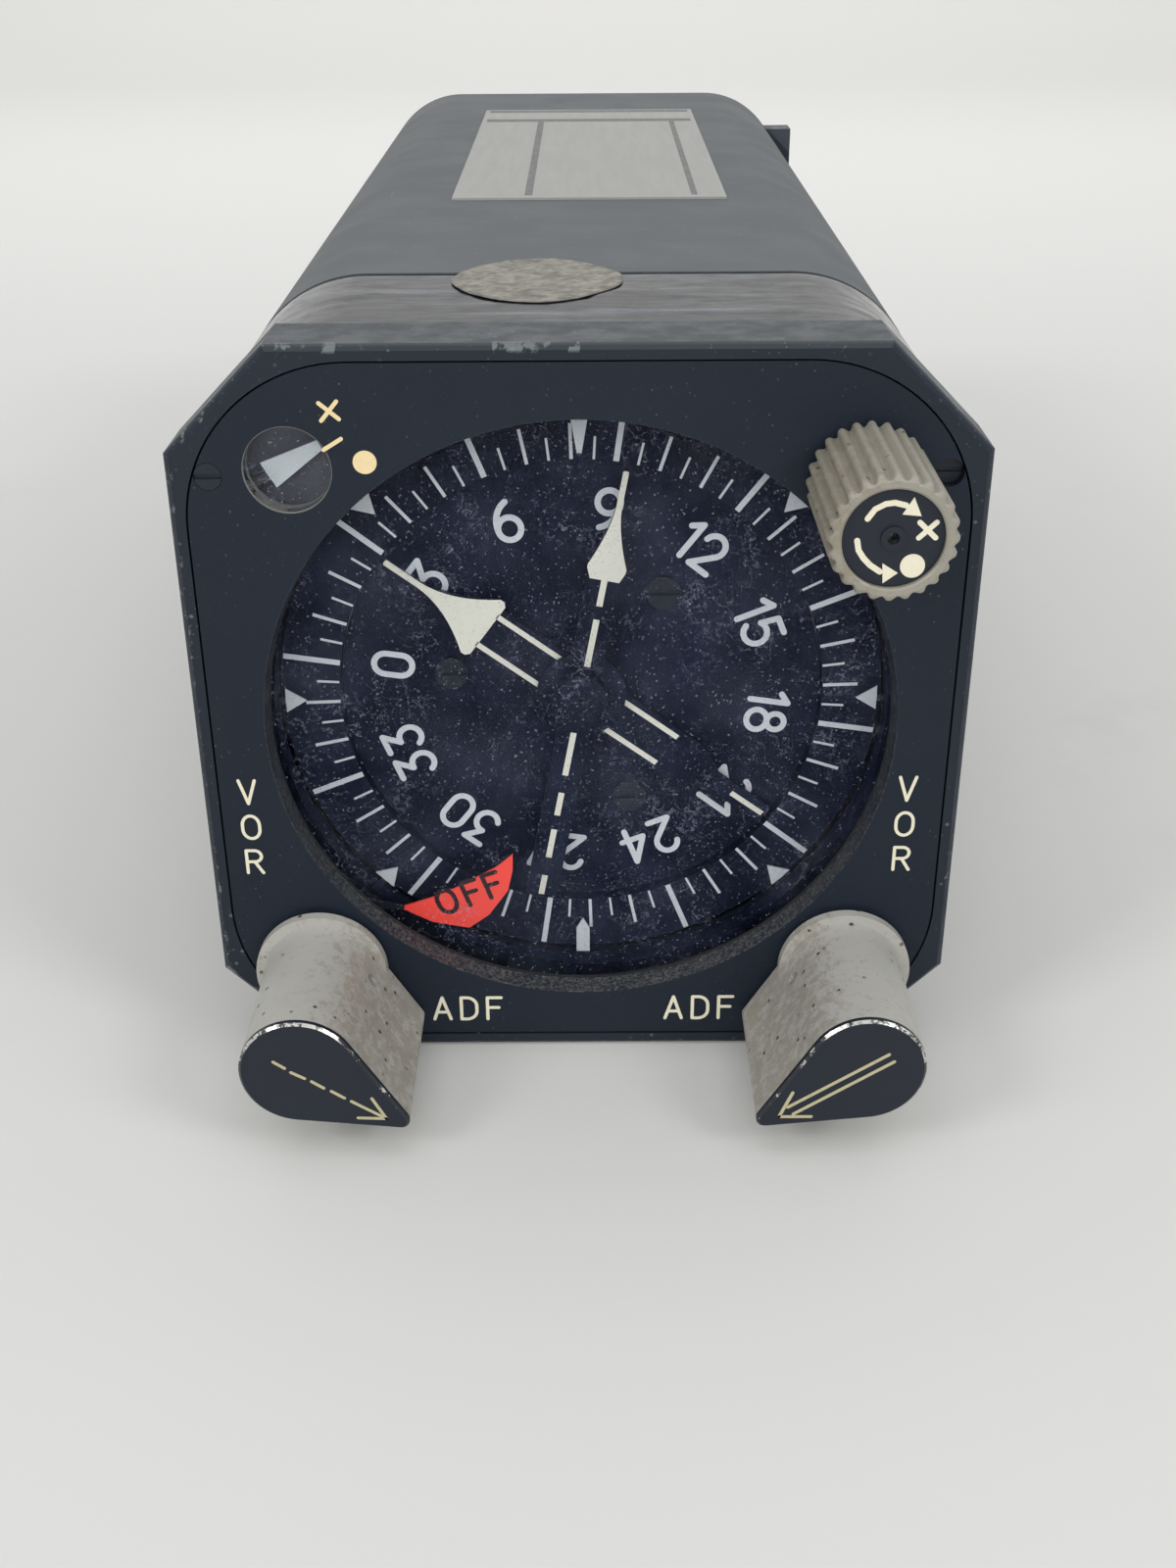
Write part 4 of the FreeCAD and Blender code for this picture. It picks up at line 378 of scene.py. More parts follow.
def index_paint():
    """White index marks whose roots on the ring are painted over."""
    paint = Paint("index_paint", 0.5)
    soiled = paint.mix(paint.rise(paint.noise(0.5, 6.0, 0.7), 0.5, 0.75), srgb(201, 204, 205),
                       srgb(178, 182, 184))
    longer = paint.times(paint.fall(paint.offset("Z", AXIS_Z), -27.5, -27.0), 0.45)
    reach = paint.math("SUBTRACT", paint.radius(0, 0), longer)
    root = paint.rise(reach, MARK_ROOT, MARK_ROOT + 0.04)
    return paint.colour(paint.mix(root, soiled, srgb(20, 25, 42)))


def needle_paint():
    """Pale wedge of the annunciator on a dark stem."""
    paint = Paint("needle_paint", 0.45)
    wedge = paint.mix(paint.noise(1.5, 4.0), srgb(206, 212, 210), srgb(192, 199, 197))
    beyond_hub = paint.rise(paint.radius(*NEEDLE_PIVOT), NEEDLE_HUB, NEEDLE_HUB + 0.07)
    return paint.colour(paint.mix(beyond_hub, srgb(60, 60, 62), wedge))


def flag_paint():
    """Orange-red flag on a dark arm."""
    paint = Paint("flag_paint", 0.5)
    red = paint.mix(paint.noise(3.0, 5.0), srgb(255, 82, 66), srgb(246, 70, 56))
    beyond_arm = paint.rise(paint.radius(*FLAG_PIVOT), FLAG_ARM, FLAG_ARM + 0.05)
    return paint.colour(paint.mix(beyond_arm, srgb(26, 29, 36), red))


def grey_knob_paint(name, base, grime):
    """Light grey knob paint, thin and dirty where fingers rub it."""
    paint = worn_paint(name, base, grime, srgb(104, 100, 92), 0.42, 0.69, 2.4, 0.015)
    dirt = paint.rise(paint.noise(1.0, 8.0, 0.8, shift=(6.0, 6.0, 6.0)), 0.6, 0.7)
    paint.layer(dirt, srgb(92, 86, 76))
    inner = paint.fall(paint.math("ABSOLUTE", paint.offset("X", 0.0)), 23.5, 31.0)
    stain = paint.noise(1.4, 9.0, 0.8, shift=(2.0, 8.0, 5.0))
    stain = paint.rise(paint.plus(stain, paint.times(inner, 0.14)), 0.54, 0.68)
    paint.layer(paint.times(stain, 0.42), srgb(116, 104, 84))
    patch = paint.rise(paint.plus(paint.noise(5.0, 4.0, shift=(9.0, 3.0, 1.0)),
                                  paint.times(inner, 0.06)), 0.52, 0.6)
    crumbs = paint.times(paint.specks(1.7, 0.2, shift=(0.3, 0.6, 0.2)), patch)
    return paint.colour(paint.mix(crumbs, paint.tone, srgb(70, 62, 52)))


def chipped_edge(name):
    """Bare metal showing where black paint has chipped off the upper edge."""
    paint = Paint(name, 0.35)
    upper = paint.ramp(paint.offset("Z", AXIS_Z), -31.0, -25.0, 0.0, 0.12)
    worn = paint.plus(paint.noise(1.2, 8.0, 0.75, shift=(2.0, 4.0, 6.0)), upper)
    bare = paint.rise(worn, 0.57, 0.62)
    paint.colour(paint.mix(bare, srgb(30, 34, 41), srgb(206, 205, 198)))
    paint.feed(paint.shader.inputs["Metallic"], paint.times(bare, 0.7))
    return paint


def metal(name, red, green, blue, roughness, stretch=(1, 1, 1)):
    paint = Paint(name, roughness, 1.0)
    bright = srgb(red, green, blue)
    dull = tuple(0.8 * value for value in bright[:3]) + (1.0,)
    paint.colour(paint.mix(paint.noise(2.0, 5.0, stretch=stretch), bright, dull))
    paint.rough(roughness - 0.08, roughness + 0.1, paint.noise(0.7, 4.0, stretch=stretch))
    paint.bump(paint.noise(0.3, 3.0, stretch=stretch), 0.006)
    return paint


def plastic(name, red, green, blue, roughness):
    paint = Paint(name, roughness)
    base = srgb(red, green, blue)
    light = tuple(min(1.0, 1.25 * value) for value in base[:3]) + (1.0,)
    paint.colour(paint.mix(paint.noise(4.0, 5.0), base, light))
    paint.rough(roughness - 0.08, roughness + 0.1, paint.noise(1.0))
    paint.bump(paint.noise(0.4, 3.0), 0.01)
    return paint


def clear_glass(name):
    """Coated window that hardly mirrors, with dust and fibres on its inside."""
    paint = Paint(name, 0.9)
    tree = paint.tree
    pane = tree.nodes.new("ShaderNodeBsdfTransparent")
    pane.inputs["Color"].default_value = (0.98, 0.985, 1.0, 1.0)
    gloss = tree.nodes.new("ShaderNodeBsdfGlossy")
    gloss.inputs["Roughness"].default_value = 0.03
    shine = tree.nodes.new("ShaderNodeFresnel")
    shine.inputs["IOR"].default_value = 1.06
    clean = tree.nodes.new("ShaderNodeMixShader")
    tree.links.new(shine.outputs[0], clean.inputs[0])
    tree.links.new(pane.outputs[0], clean.inputs[1])
    tree.links.new(gloss.outputs[0], clean.inputs[2])
    paint.colour(srgb(150, 152, 172))
    veil = paint.ramp(paint.noise(10.0, 6.0, 0.6), 0.4, 0.75, 0.0, 0.03)
    lint = paint.times(paint.fibres(2.2, (6.0, 1.0, 7.0)), 0.28)
    fine = paint.specks(0.75, 0.13, shift=(0.4, 0.1, 0.9))
    dots = paint.times(paint.most(paint.specks(1.3, 0.1), fine), 0.42)
    cover = paint.most(paint.most(veil, lint), dots)
    dusty = tree.nodes.new("ShaderNodeMixShader")
    tree.links.new(cover, dusty.inputs[0])
    tree.links.new(clean.outputs[0], dusty.inputs[1])
    tree.links.new(paint.shader.outputs[0], dusty.inputs[2])
    output = tree.nodes["Material Output"]
    tree.links.new(dusty.outputs[0], output.inputs["Surface"])
    return paint


PAINTS = {
    "bezel": bezel_paint(),
    "plate": plate_paint(),
    "cover": cover_paint(),
    "tape": tape_film(),
    "seal": seal_film(),
    "label": label_foil(),
    "legend": print_ink("legend_ink", 222, 216, 192),
    "cream": print_ink("annunciator_ink", 226, 204, 156),
    "dial_mark": print_ink("dial_mark_ink", 206, 209, 211),
    "pointer_mark": print_ink("pointer_ink", 219, 217, 200),
    "index": index_paint(),
    "arrow": print_ink("arrow_ink", 178, 170, 136),
    "dark_ink": print_ink("dark_ink", 104, 105, 104),
    "card": dial_paint("card_paint"),
    "pointer": dial_paint("pointer_paint"),
    "flag": flag_paint(),
    "flag_ink": print_ink("flag_ink", 38, 13, 13),
    "selector": grey_knob_paint("selector_paint", srgb(176, 175, 169), srgb(160, 158, 150)),
    "sync": grey_knob_paint("sync_paint", srgb(154, 150, 138), srgb(128, 124, 113)),
    "black": worn_paint("black_paint", srgb(30, 36, 46), srgb(24, 29, 38), srgb(66, 69, 72),
                        0.42, 0.72).matte(0.3),
    "chipped": chipped_edge("chipped_black"),
    "screw": worn_paint("screw_black", srgb(10, 13, 19), srgb(7, 9, 14), srgb(48, 51, 57),
                        0.35, 0.7, 1.0).matte(0.15),
    "steel": metal("ground_steel", 196, 197, 198, 0.3),
    "zinc": metal("zinc_plate", 186, 184, 172, 0.35),
    "aluminium": metal("milled_aluminium", 200, 200, 202, 0.4, (1, 0.2, 1)),
    "brass": metal("gear_brass", 206, 170, 96, 0.3),
    "gold": metal("contact_gold", 220, 180, 96, 0.25),
    "olive": metal("connector_plate", 112, 112, 88, 0.45),
    "laminations": metal("lamination_stack", 104, 96, 88, 0.5, (1, 4, 1)),
    "insert": plastic("insert_plastic", 30, 31, 33, 0.5),
    "gasket": plastic("gasket_rubber", 26, 26, 27, 0.7),
    "board": plastic("board_laminate", 44, 88, 54, 0.45),
    "glass": clear_glass("window_pane"),
    "needle": needle_paint(),
    "barrel": dial_paint("ring_paint"),
}

# Which solids carry which paint
CAD_PAINTS = {
    "bezel": "bezel_frame corner_block",
    "plate": "front_plate",
    "black": "plate_screws card_screws left_selector_cap right_selector_cap sync_knob_disc",
    "zinc": "rear_screws",
    "glass": "window_glass annunciator_window",
    "gasket": "window_gasket",
    "barrel": "index_ring glass_retainer",
    "index": "index_marks",
    "card": "card_ring number_disc",
    "needle": "annunciator_needle",
    "flag": "off_flag",
    "tape": "seal_tape",
    "cover": "dust_cover rear_plate",
    "seal": "oval_seal",
    "label": "label_plate",
    "aluminium": "front_mechanism_plate gear_plate synchro_plates spacer_tubes card_hub "
                 "control_bushings heading_stator wide_pointer_stator narrow_pointer_stator "
                 "servo_motor sync_control selector_switches flag_movement annunciator_movement",
    "olive": "rear_connector",
    "insert": "connector_insert",
    "brass": "card_gear idler_gear motor_pinion",
    "steel": "tie_rods hub_bearings wide_pointer_tube sync_shaft left_selector_shaft "
             "right_selector_shaft",
    "screw": "narrow_pointer_shaft",
    "laminations": "heading_rotor wide_pointer_rotor narrow_pointer_rotor",
    "board": "circuit_boards",
    "selector": "left_selector_knob right_selector_knob",
    "sync": "sync_knob",
    "pointer": "hub_cap wide_pointer narrow_pointer",
}

for paint_name, node_names in CAD_PAINTS.items():
    for node_name in node_names.split():
        node_mesh = nodes[node_name].data
        node_mesh.materials.clear()
        node_mesh.materials.append(PAINTS[paint_name].material)


# Meshes
def mesh_object(name, mesh, paints, smooth):
    """Put a finished mesh into the scene."""
    data = bpy.data.meshes.new(name)
    mesh.to_mesh(data)
    mesh.free()
    for face in data.polygons:
        face.use_smooth = smooth
    for paint in paints:
        data.materials.append(paint.material)
    thing = bpy.data.objects.new(name, data)
    bpy.context.scene.collection.objects.link(thing)
    return thing


def add_piece(name, mesh, body, slot, *paint_names, smooth=False):
    """A piece that moves with one of the bodies."""
    bmesh.ops.recalc_face_normals(mesh, faces=mesh.faces)
    piece = mesh_object(name, mesh, [PAINTS[paint] for paint in paint_names], smooth)
    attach(piece, body)
    return piece


def flat(depth, x=0.0, z=0.0, turn=0.0):
    """Surface facing the pilot; its own up direction points turn degrees clockwise."""
    angle = math.radians(turn)

    def place(u, v, height):
        return at(x + u * math.cos(angle) + v * math.sin(angle), depth - height,
                  z - u * math.sin(angle) + v * math.cos(angle))
    return place


def join(mesh, ring, following):
    """Faces between two closed rows of points."""
    count = len(ring)
    return [mesh.faces.new((ring[index], ring[(index + 1) % count],
                            following[(index + 1) % count], following[index]))
            for index in range(count)]


def wrap(mesh, rings):
    """Faces from each closed row to the next, and from the last to the first."""
    for ring, following in zip(rings, rings[1:] + rings[:1]):
        join(mesh, ring, following)


def prism(mesh, outline, surface, thickness, lift=0.0):
    """Thin slab with the given outline, raised from a surface."""
    low = [mesh.verts.new(surface(u, v, lift)) for u, v in outline]
    high = [mesh.verts.new(surface(u, v, lift + thickness)) for u, v in outline]
    mesh.faces.new(low)
    mesh.faces.new(high)
    join(mesh, low, high)


def loop_band(mesh, outer, inner, surface, thickness, lift=0.0):
    """Thin ring between two outlines with equal point counts."""
    rings = [[mesh.verts.new(surface(u, v, lift + height)) for u, v in outline]
             for outline, height in ((outer, 0.0), (outer, thickness),
                                     (inner, thickness), (inner, 0.0))]
    wrap(mesh, rings)


def arc(x, y, width, height, start, end, steps=12):
    """Points of an elliptical arc, counterclockwise from the right in degrees."""
    angles = [math.radians(start + (end - start) * step / steps) for step in range(steps + 1)]
    return [(x + width * math.cos(angle), y + height * math.sin(angle)) for angle in angles]


def side_steps(points, closed=False):
    """Unit normals to the left of a line of points, averaged at each point."""
    count = len(points)
    normals = []
    for index in range(count):
        before = points[(index - 1) % count] if closed or index else points[index]
        after = points[(index + 1) % count] if closed or index < count - 1 else points[index]
        along = Vector((after[0] - before[0], after[1] - before[1])).normalized()
        normals.append(Vector((-along.y, along.x)))
    return normals


ROUND_STEPS = 6


def stroke(mesh, points, width, surface, thickness, lift=0.0):
    """Pen stroke with round ends along open points."""
    half = width / 2
    normals = side_steps(points)
    left = [(x + n.x * half, y + n.y * half) for (x, y), n in zip(points, normals)]
    right = [(x - n.x * half, y - n.y * half) for (x, y), n in zip(points, normals)]
    outline = list(left)
    for end, normal, step in ((points[-1], normals[-1], -1), (points[0], normals[0], 1)):
        heading = math.atan2(normal.y, normal.x) if step < 0 else math.atan2(-normal.y, -normal.x)
        outline += [(end[0] + half * math.cos(heading - math.pi * share / ROUND_STEPS),
                     end[1] + half * math.sin(heading - math.pi * share / ROUND_STEPS))
                    for share in range(1, ROUND_STEPS)]
        if step < 0:
            outline += right[::-1]
    prism(mesh, outline, surface, thickness, lift)


def closed_stroke(mesh, points, width, surface, thickness, lift=0.0):
    half = width / 2
    normals = side_steps(points, closed=True)
    outer = [(x - n.x * half, y - n.y * half) for (x, y), n in zip(points, normals)]
    inner = [(x + n.x * half, y + n.y * half) for (x, y), n in zip(points, normals)]
    loop_band(mesh, outer, inner, surface, thickness, lift)


def flip_glyph(lines):
    return [(closed, [(0.58 - x, 1.0 - y) for x, y in points]) for closed, points in lines]


SIX = [(True, arc(0.29, 0.30, 0.29, 0.30, 0, 345, 23)),
       (False, arc(0.62, 0.32, 0.62, 0.70, 180, 106, 8))]

# Engraver's letters one unit high: a letter's width, and for each of its strokes whether
# it closes and its points.
GLYPHS = {
    "0": (0.58, [(True, arc(0.29, 0.70, 0.29, 0.30, 0, 180)
                  + arc(0.29, 0.30, 0.29, 0.30, 180, 360))]),
    "1": (0.26, [(False, [(0.24, 0.0), (0.24, 1.0)]), (False, [(0.24, 1.0), (0.0, 0.80)])]),
    "2": (0.58, [(False, arc(0.28, 0.71, 0.28, 0.29, 170, -38) + [(0.02, 0.0)]),
                 (False, [(0.02, 0.0), (0.58, 0.0)])]),
    "3": (0.56, [(False, [(0.02, 1.0), (0.53, 1.0)]), (False, [(0.53, 1.0), (0.22, 0.6)]),
                 (False, [(0.22, 0.6)] + arc(0.27, 0.3, 0.29, 0.3, 84, -150))]),
    "4": (0.60, [(False, [(0.43, 0.0), (0.43, 1.0)]), (False, [(0.43, 1.0), (0.0, 0.30)]),
                 (False, [(0.0, 0.30), (0.60, 0.30)])]),
    "5": (0.56, [(False, [(0.52, 1.0), (0.10, 1.0)]), (False, [(0.10, 1.0), (0.05, 0.54)]),
                 (False, arc(0.25, 0.31, 0.31, 0.31, 132, -150))]),
    "6": (0.58, SIX),
    "7": (0.56, [(False, [(0.0, 1.0), (0.56, 1.0)]), (False, [(0.56, 1.0), (0.18, 0.0)])]),
    "8": (0.58, [(True, arc(0.29, 0.77, 0.23, 0.23, 0, 345, 23)),
                 (True, arc(0.29, 0.27, 0.29, 0.27, 0, 345, 23))]),
    "9": (0.58, flip_glyph(SIX)),
    "A": (0.64, [(False, [(0.0, 0.0), (0.32, 1.0)]), (False, [(0.32, 1.0), (0.64, 0.0)]),
                 (False, [(0.12, 0.33), (0.52, 0.33)])]),
    "D": (0.60, [(False, [(0.0, 0.0), (0.0, 1.0)]),
                 (False, [(0.0, 1.0)] + arc(0.22, 0.62, 0.38, 0.38, 90, 0)
                  + arc(0.22, 0.38, 0.38, 0.38, 0, -90) + [(0.0, 0.0)])]),
    "F": (0.54, [(False, [(0.0, 0.0), (0.0, 1.0)]), (False, [(0.0, 1.0), (0.54, 1.0)]),
                 (False, [(0.0, 0.54), (0.44, 0.54)])]),
    "O": (0.66, [(True, arc(0.33, 0.60, 0.33, 0.40, 0, 180)
                  + arc(0.33, 0.40, 0.33, 0.40, 180, 360))]),
    "R": (0.60, [(False, [(0.0, 0.0), (0.0, 1.0)]),
                 (False, [(0.0, 1.0)] + arc(0.32, 0.75, 0.26, 0.25, 90, -90) + [(0.0, 0.50)]),
                 (False, [(0.30, 0.50), (0.60, 0.0)])]),
    "V": (0.62, [(False, [(0.0, 1.0), (0.31, 0.0)]), (False, [(0.31, 0.0), (0.62, 1.0)])]),
}
MARK = 0.04
STROKE_STEP = 0.003


def lettering(mesh, text, height, width, surface, gap=0.26):
    """Text centred on its surface's origin."""
    total = sum(GLYPHS[letter][0] for letter in text) + gap * (len(text) - 1)
    start = -total / 2
    lift = 0.0
    for letter in text:
        advance, lines = GLYPHS[letter]
        for closed, points in lines:
            scaled = [((start + x) * height, (y - 0.5) * height) for x, y in points]
            draw = closed_stroke if closed else stroke
            draw(mesh, scaled, width, surface, MARK, lift)
            lift += STROKE_STEP
        start += advance + gap


def bar(mesh, low, high, half, surface, lift=0.0):
    """Straight mark from v = low to v = high about the surface's centre line."""
    prism(mesh, [(-half, low), (half, low), (half, high), (-half, high)], surface, MARK, lift)


def mirrored(right_side):
    """Close an outline given along its right side from tip to tail."""
    return right_side + [(-u, v) for u, v in reversed(right_side) if abs(u) > 1e-6]


def disc_outline(x, y, radius, steps=28):
    return arc(x, y, radius, radius, 0, 360 - 360 / steps, steps - 1)


# Compass card
RING_INNER = 27.05
TICKS = ((33.35, 0.31), (30.9, 0.18), (29.5, 0.13))
DISC_DEPTH = depth_of("number_disc")
CARD_ZERO = -81.8
NUMBER_RADIUS = 21.25
NUMBER_HEIGHT, NUMBER_PEN = 4.3, 0.68
CARD_NUMBERS = ("0", "3", "6", "9", "12", "15", "18", "21", "24", "27", "30", "33")


def card_marks():
    ticks = bmesh.new()
    depth = depth_of("card_ring")
    for step in range(72):
        reach, half = TICKS[0 if step % 6 == 0 else 1 if step % 2 == 0 else 2]
        bar(ticks, RING_INNER, reach, half, flat(depth, turn=CARD_ZERO + 5 * step))
    add_piece("card_ticks", ticks, "card", "mark_white", "dial_mark")
    numbers = bmesh.new()
    for index, text in enumerate(CARD_NUMBERS):
        turn = CARD_ZERO + 30 * index
        surface = flat(DISC_DEPTH, NUMBER_RADIUS * math.sin(math.radians(turn)),
                       NUMBER_RADIUS * math.cos(math.radians(turn)), turn)
        lettering(numbers, text, NUMBER_HEIGHT, NUMBER_PEN, surface)
    add_piece("card_numbers", numbers, "card", "mark_white", "dial_mark")


# Pointer marks, measured along a pointer from its axis towards its tip
NARROW_BEARING = 10.8
WIDE_BEARING = -53.4
POINTER_TIP = 26.35
NARROW_DASHES = ((10.9, 13.95), (3.6, 9.3), (-10.2, -4.7), (-15.5, -12.5), (-21.2, -17.4),
                 (-26.3, -23.7))
NARROW_DASH_HALF = 0.34
WIDE_LINES = ((4.2, 12.9), (-12.1, -4.3))
WIDE_LINE_OFFSET, WIDE_LINE_HALF = 2.0, 0.3
WIDE_TAIL = (-26.0, -21.4)


def arrowhead(needle, slim_end, shoulder, half, power):
    """Right side of a hollow-sided arrowhead from its blunt tip to its shoulder."""
    side = [(needle * 0.7, POINTER_TIP), (needle, POINTER_TIP - 0.15)]
    for step in range(9):
        share = step / 8.0
        side.append((needle + (half - needle) * share ** power,
                     slim_end + (shoulder - slim_end) * share))
    return side


def pointer_marks():
    narrow = bmesh.new()
    surface = flat(depth_of("narrow_pointer"), turn=NARROW_BEARING)
    head = arrowhead(0.31, 22.3, 15.5, 2.12, 1.6) + [(2.1, 15.1), (1.62, 13.95)]
    prism(narrow, mirrored(head), surface, MARK)
    for low, high in NARROW_DASHES:
        bar(narrow, low, high, NARROW_DASH_HALF, surface)
    add_piece("narrow_pointer_marks", narrow, "narrow_pointer_body", "mark_white", "pointer_mark")
    wide = bmesh.new()
    surface = flat(depth_of("wide_pointer"), turn=WIDE_BEARING)
    head = arrowhead(0.33, 22.0, 13.7, 3.84, 1.9) + [(3.84, 13.2), (3.4, 12.75)]
    prism(wide, mirrored(head), surface, MARK)
    for side in (-WIDE_LINE_OFFSET, WIDE_LINE_OFFSET):
        left, right = side - WIDE_LINE_HALF, side + WIDE_LINE_HALF
        for low, high in WIDE_LINES:
            prism(wide, [(left, low), (right, low), (right, high), (left, high)], surface, MARK)
    bar(wide, *WIDE_TAIL, WIDE_LINE_HALF, surface)
    add_piece("wide_pointer_marks", wide, "wide_pointer_body", "mark_white", "pointer_mark")


# Front plate lettering
VOR_X, VOR_SHIFT, VOR_TOP, VOR_STEP = 36.1, -0.45, -7.4, 4.4
VOR_HEIGHT, VOR_PEN = 2.85, 0.36
ADF_X, ADF_Z = 13.5, -36.2
ADF_HEIGHT, ADF_PEN, ADF_GAP = 3.0, 0.38, 0.42
PLUS_X, PLUS_Z, PLUS_TURN, PLUS_ARM = -24.5, 34.9, 40, 1.25
SIGN_LINE = [(-25.3, 31.0), (-23.5, 32.1)]
SIGN_DOT = (-21.3, 29.7, 1.2)
SIGN_PEN = 0.42
FLAG_LETTERS = (("O", -15.9, -25.1), ("F", -12.9, -23.9), ("F", -10.4, -22.9))
FLAG_SLANT, FLAG_HEIGHT, FLAG_PEN = -20, 3.1, 0.54


def plate_marks():
    legends = bmesh.new()
    face = depth_of("front_plate")
    for side in (-1, 1):
        for row, letter in enumerate("VOR"):
            place = flat(face, side * VOR_X + VOR_SHIFT, VOR_TOP - VOR_STEP * row)
            lettering(legends, letter, VOR_HEIGHT, VOR_PEN, place)
        place = flat(face, side * ADF_X, ADF_Z)
        lettering(legends, "ADF", ADF_HEIGHT, ADF_PEN, place, ADF_GAP)
    add_piece("plate_legends", legends, "case", "mark_white", "legend")
    signs = bmesh.new()
    plus = flat(face, PLUS_X, PLUS_Z, PLUS_TURN)
    stroke(signs, [(-PLUS_ARM, 0), (PLUS_ARM, 0)], SIGN_PEN, plus, MARK)
    stroke(signs, [(0, -PLUS_ARM), (0, PLUS_ARM)], SIGN_PEN, plus, MARK, STROKE_STEP)
    stroke(signs, SIGN_LINE, SIGN_PEN, flat(face), MARK)
    prism(signs, disc_outline(*SIGN_DOT), flat(face), MARK)
    add_piece("annunciator_signs", signs, "case", "mark_white", "cream")
    letters = bmesh.new()
    for letter, x, z in FLAG_LETTERS:
        place = flat(depth_of("off_flag"), x, z, FLAG_SLANT)
        lettering(letters, letter, FLAG_HEIGHT, FLAG_PEN, place)
    add_piece("flag_letters", letters, "flag", "knob_face", "flag_ink")


# Synchronising knob
SYNC_X, SYNC_Z = 28.7, 27.85
SYNC_FRONT = depth_of("sync_knob")
SYNC_BACK = depth_of("sync_knob", 1)
SYNC_RADIUS = 6.14
SYNC_FLUTES, FLUTE_DEPTH = 24, 0.62
SYNC_RECESS, SYNC_RECESS_DEPTH, SYNC_BORE = 4.76, 1.4, 1.7

# Marks on its face: bent arrows with their tip and wings, a cross and a dot
FACE_ARROWS = (
    ([(-2.47, 1.85), (-1.85, 2.75), (-0.92, 3.24), (-0.1, 3.35), (0.9, 3.1)],
     (2.4, 2.07), ((1.62, 3.88), (0.65, 2.24))),
    ([(-3.28, -0.23), (-3.1, -1.15), (-2.61, -1.91), (-1.95, -2.6), (-1.0, -3.25)],
     (0.66, -3.38), ((-0.82, -2.43), (-0.68, -4.39))),
)
FACE_CROSS = ([(2.3, 0.0), (3.84, 1.48)], [(2.3, 1.48), (3.84, 0.0)])
FACE_DOT = (1.95, -2.7, 1.15)
ARROW_PEN, CROSS_PEN = 0.55, 0.5
BOSS_RADIUS, BOSS_BORE, BOSS_HEIGHT = 1.15, 0.56, 0.25


def sync_knob():
    """Knob turned with rounded ridges and a hollow face."""
    mesh = bmesh.new()
    samples = SYNC_FLUTES * 10
    angles = [2 * math.pi * index / samples for index in range(samples)]
    levels = [(SYNC_BACK, 0.35, 1.0), (SYNC_BACK - 0.3, 0.0, 1.0),
              (SYNC_FRONT + 0.75, 0.0, 1.0), (SYNC_FRONT + 0.35, 0.1, 0.8),
              (SYNC_FRONT + 0.12, 0.3, 0.45), (SYNC_FRONT, 0.6, 0.2)]
    rings = []
    for depth, inset, share in levels:
        ring = []
        for angle in angles:
            wave = 0.5 - 0.5 * math.cos(SYNC_FLUTES * angle)
            radius = SYNC_RADIUS - inset - FLUTE_DEPTH * share * wave ** 1.5
            ring.append(mesh.verts.new(at(SYNC_X + radius * math.sin(angle), depth,
                                          SYNC_Z + radius * math.cos(angle))))
        rings.append(ring)
    floor = SYNC_FRONT + SYNC_RECESS_DEPTH
    for depth, radius in ((SYNC_FRONT, SYNC_RECESS + 0.19), (SYNC_FRONT + 0.15, SYNC_RECESS),
                          (floor, SYNC_RECESS), (floor, SYNC_BORE), (SYNC_BACK, SYNC_BORE)):
        rings.append([mesh.verts.new(at(SYNC_X + radius * math.sin(angle), depth,
                                        SYNC_Z + radius * math.cos(angle)))
                      for angle in angles])
    wrap(mesh, rings)
    piece = add_piece("fluted_knob", mesh, "sync_knob_body", "knob_grey", "sync")
    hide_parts("sync_knob")


def sync_face():
    marks = bmesh.new()
    surface = flat(depth_of("sync_knob_disc"), SYNC_X, SYNC_Z)
    for points, tip, wings in FACE_ARROWS:
        stroke(marks, points, ARROW_PEN, surface, MARK)
        prism(marks, [tip, *wings], surface, MARK, STROKE_STEP)
    for points, lift in zip(FACE_CROSS, (0.0, STROKE_STEP)):
        stroke(marks, points, CROSS_PEN, surface, MARK, lift)
    prism(marks, disc_outline(*FACE_DOT), surface, MARK)
    add_piece("sync_face_marks", marks, "sync_knob_body", "mark_white", "legend")
    ring = bmesh.new()
    boss = disc_outline(0, 0, BOSS_RADIUS, 32)
    hole = disc_outline(0, 0, BOSS_BORE, 32)
    loop_band(ring, boss, hole, surface, BOSS_HEIGHT)
    add_piece("sync_face_boss", ring, "sync_knob_body", "knob_face", "black")


# Selector knobs
SELECTOR_X, SELECTOR_Z = 29.84, -30.0
SELECTOR_TURN = 32
CAP_CHAMFER = 0.28
TEAR_ROUND, TEAR_OFFSET, TEAR_TIP = 6.34, 12.3, 0.9

# Arrow of dashes on the left cap; arrow of two lines on the right one, measured along it
DASHED_SHAFT = ([(-2.53, 1.55), (-1.39, 0.72)], [(-0.78, 0.18), (0.6, -0.61)],
                [(1.3, -1.01), (2.53, -1.88)], [(3.29, -2.29), (4.62, -3.2)],
                [(5.32, -3.64), (8.6, -5.75)])
DASHED_HEAD = ([(8.9, -5.95), (7.52, -3.29)], [(8.9, -5.95), (5.9, -5.84)])
DASHED_PEN, DOUBLE_PEN = 0.34, 0.36
DOUBLE_WAY = (-9.0, -5.97)
DOUBLE_START, DOUBLE_END, DOUBLE_HALF = -3.0, 9.3, 0.55
DOUBLE_TIP, DOUBLE_WING, DOUBLE_WING_HALF = 10.75, 7.9, 1.9


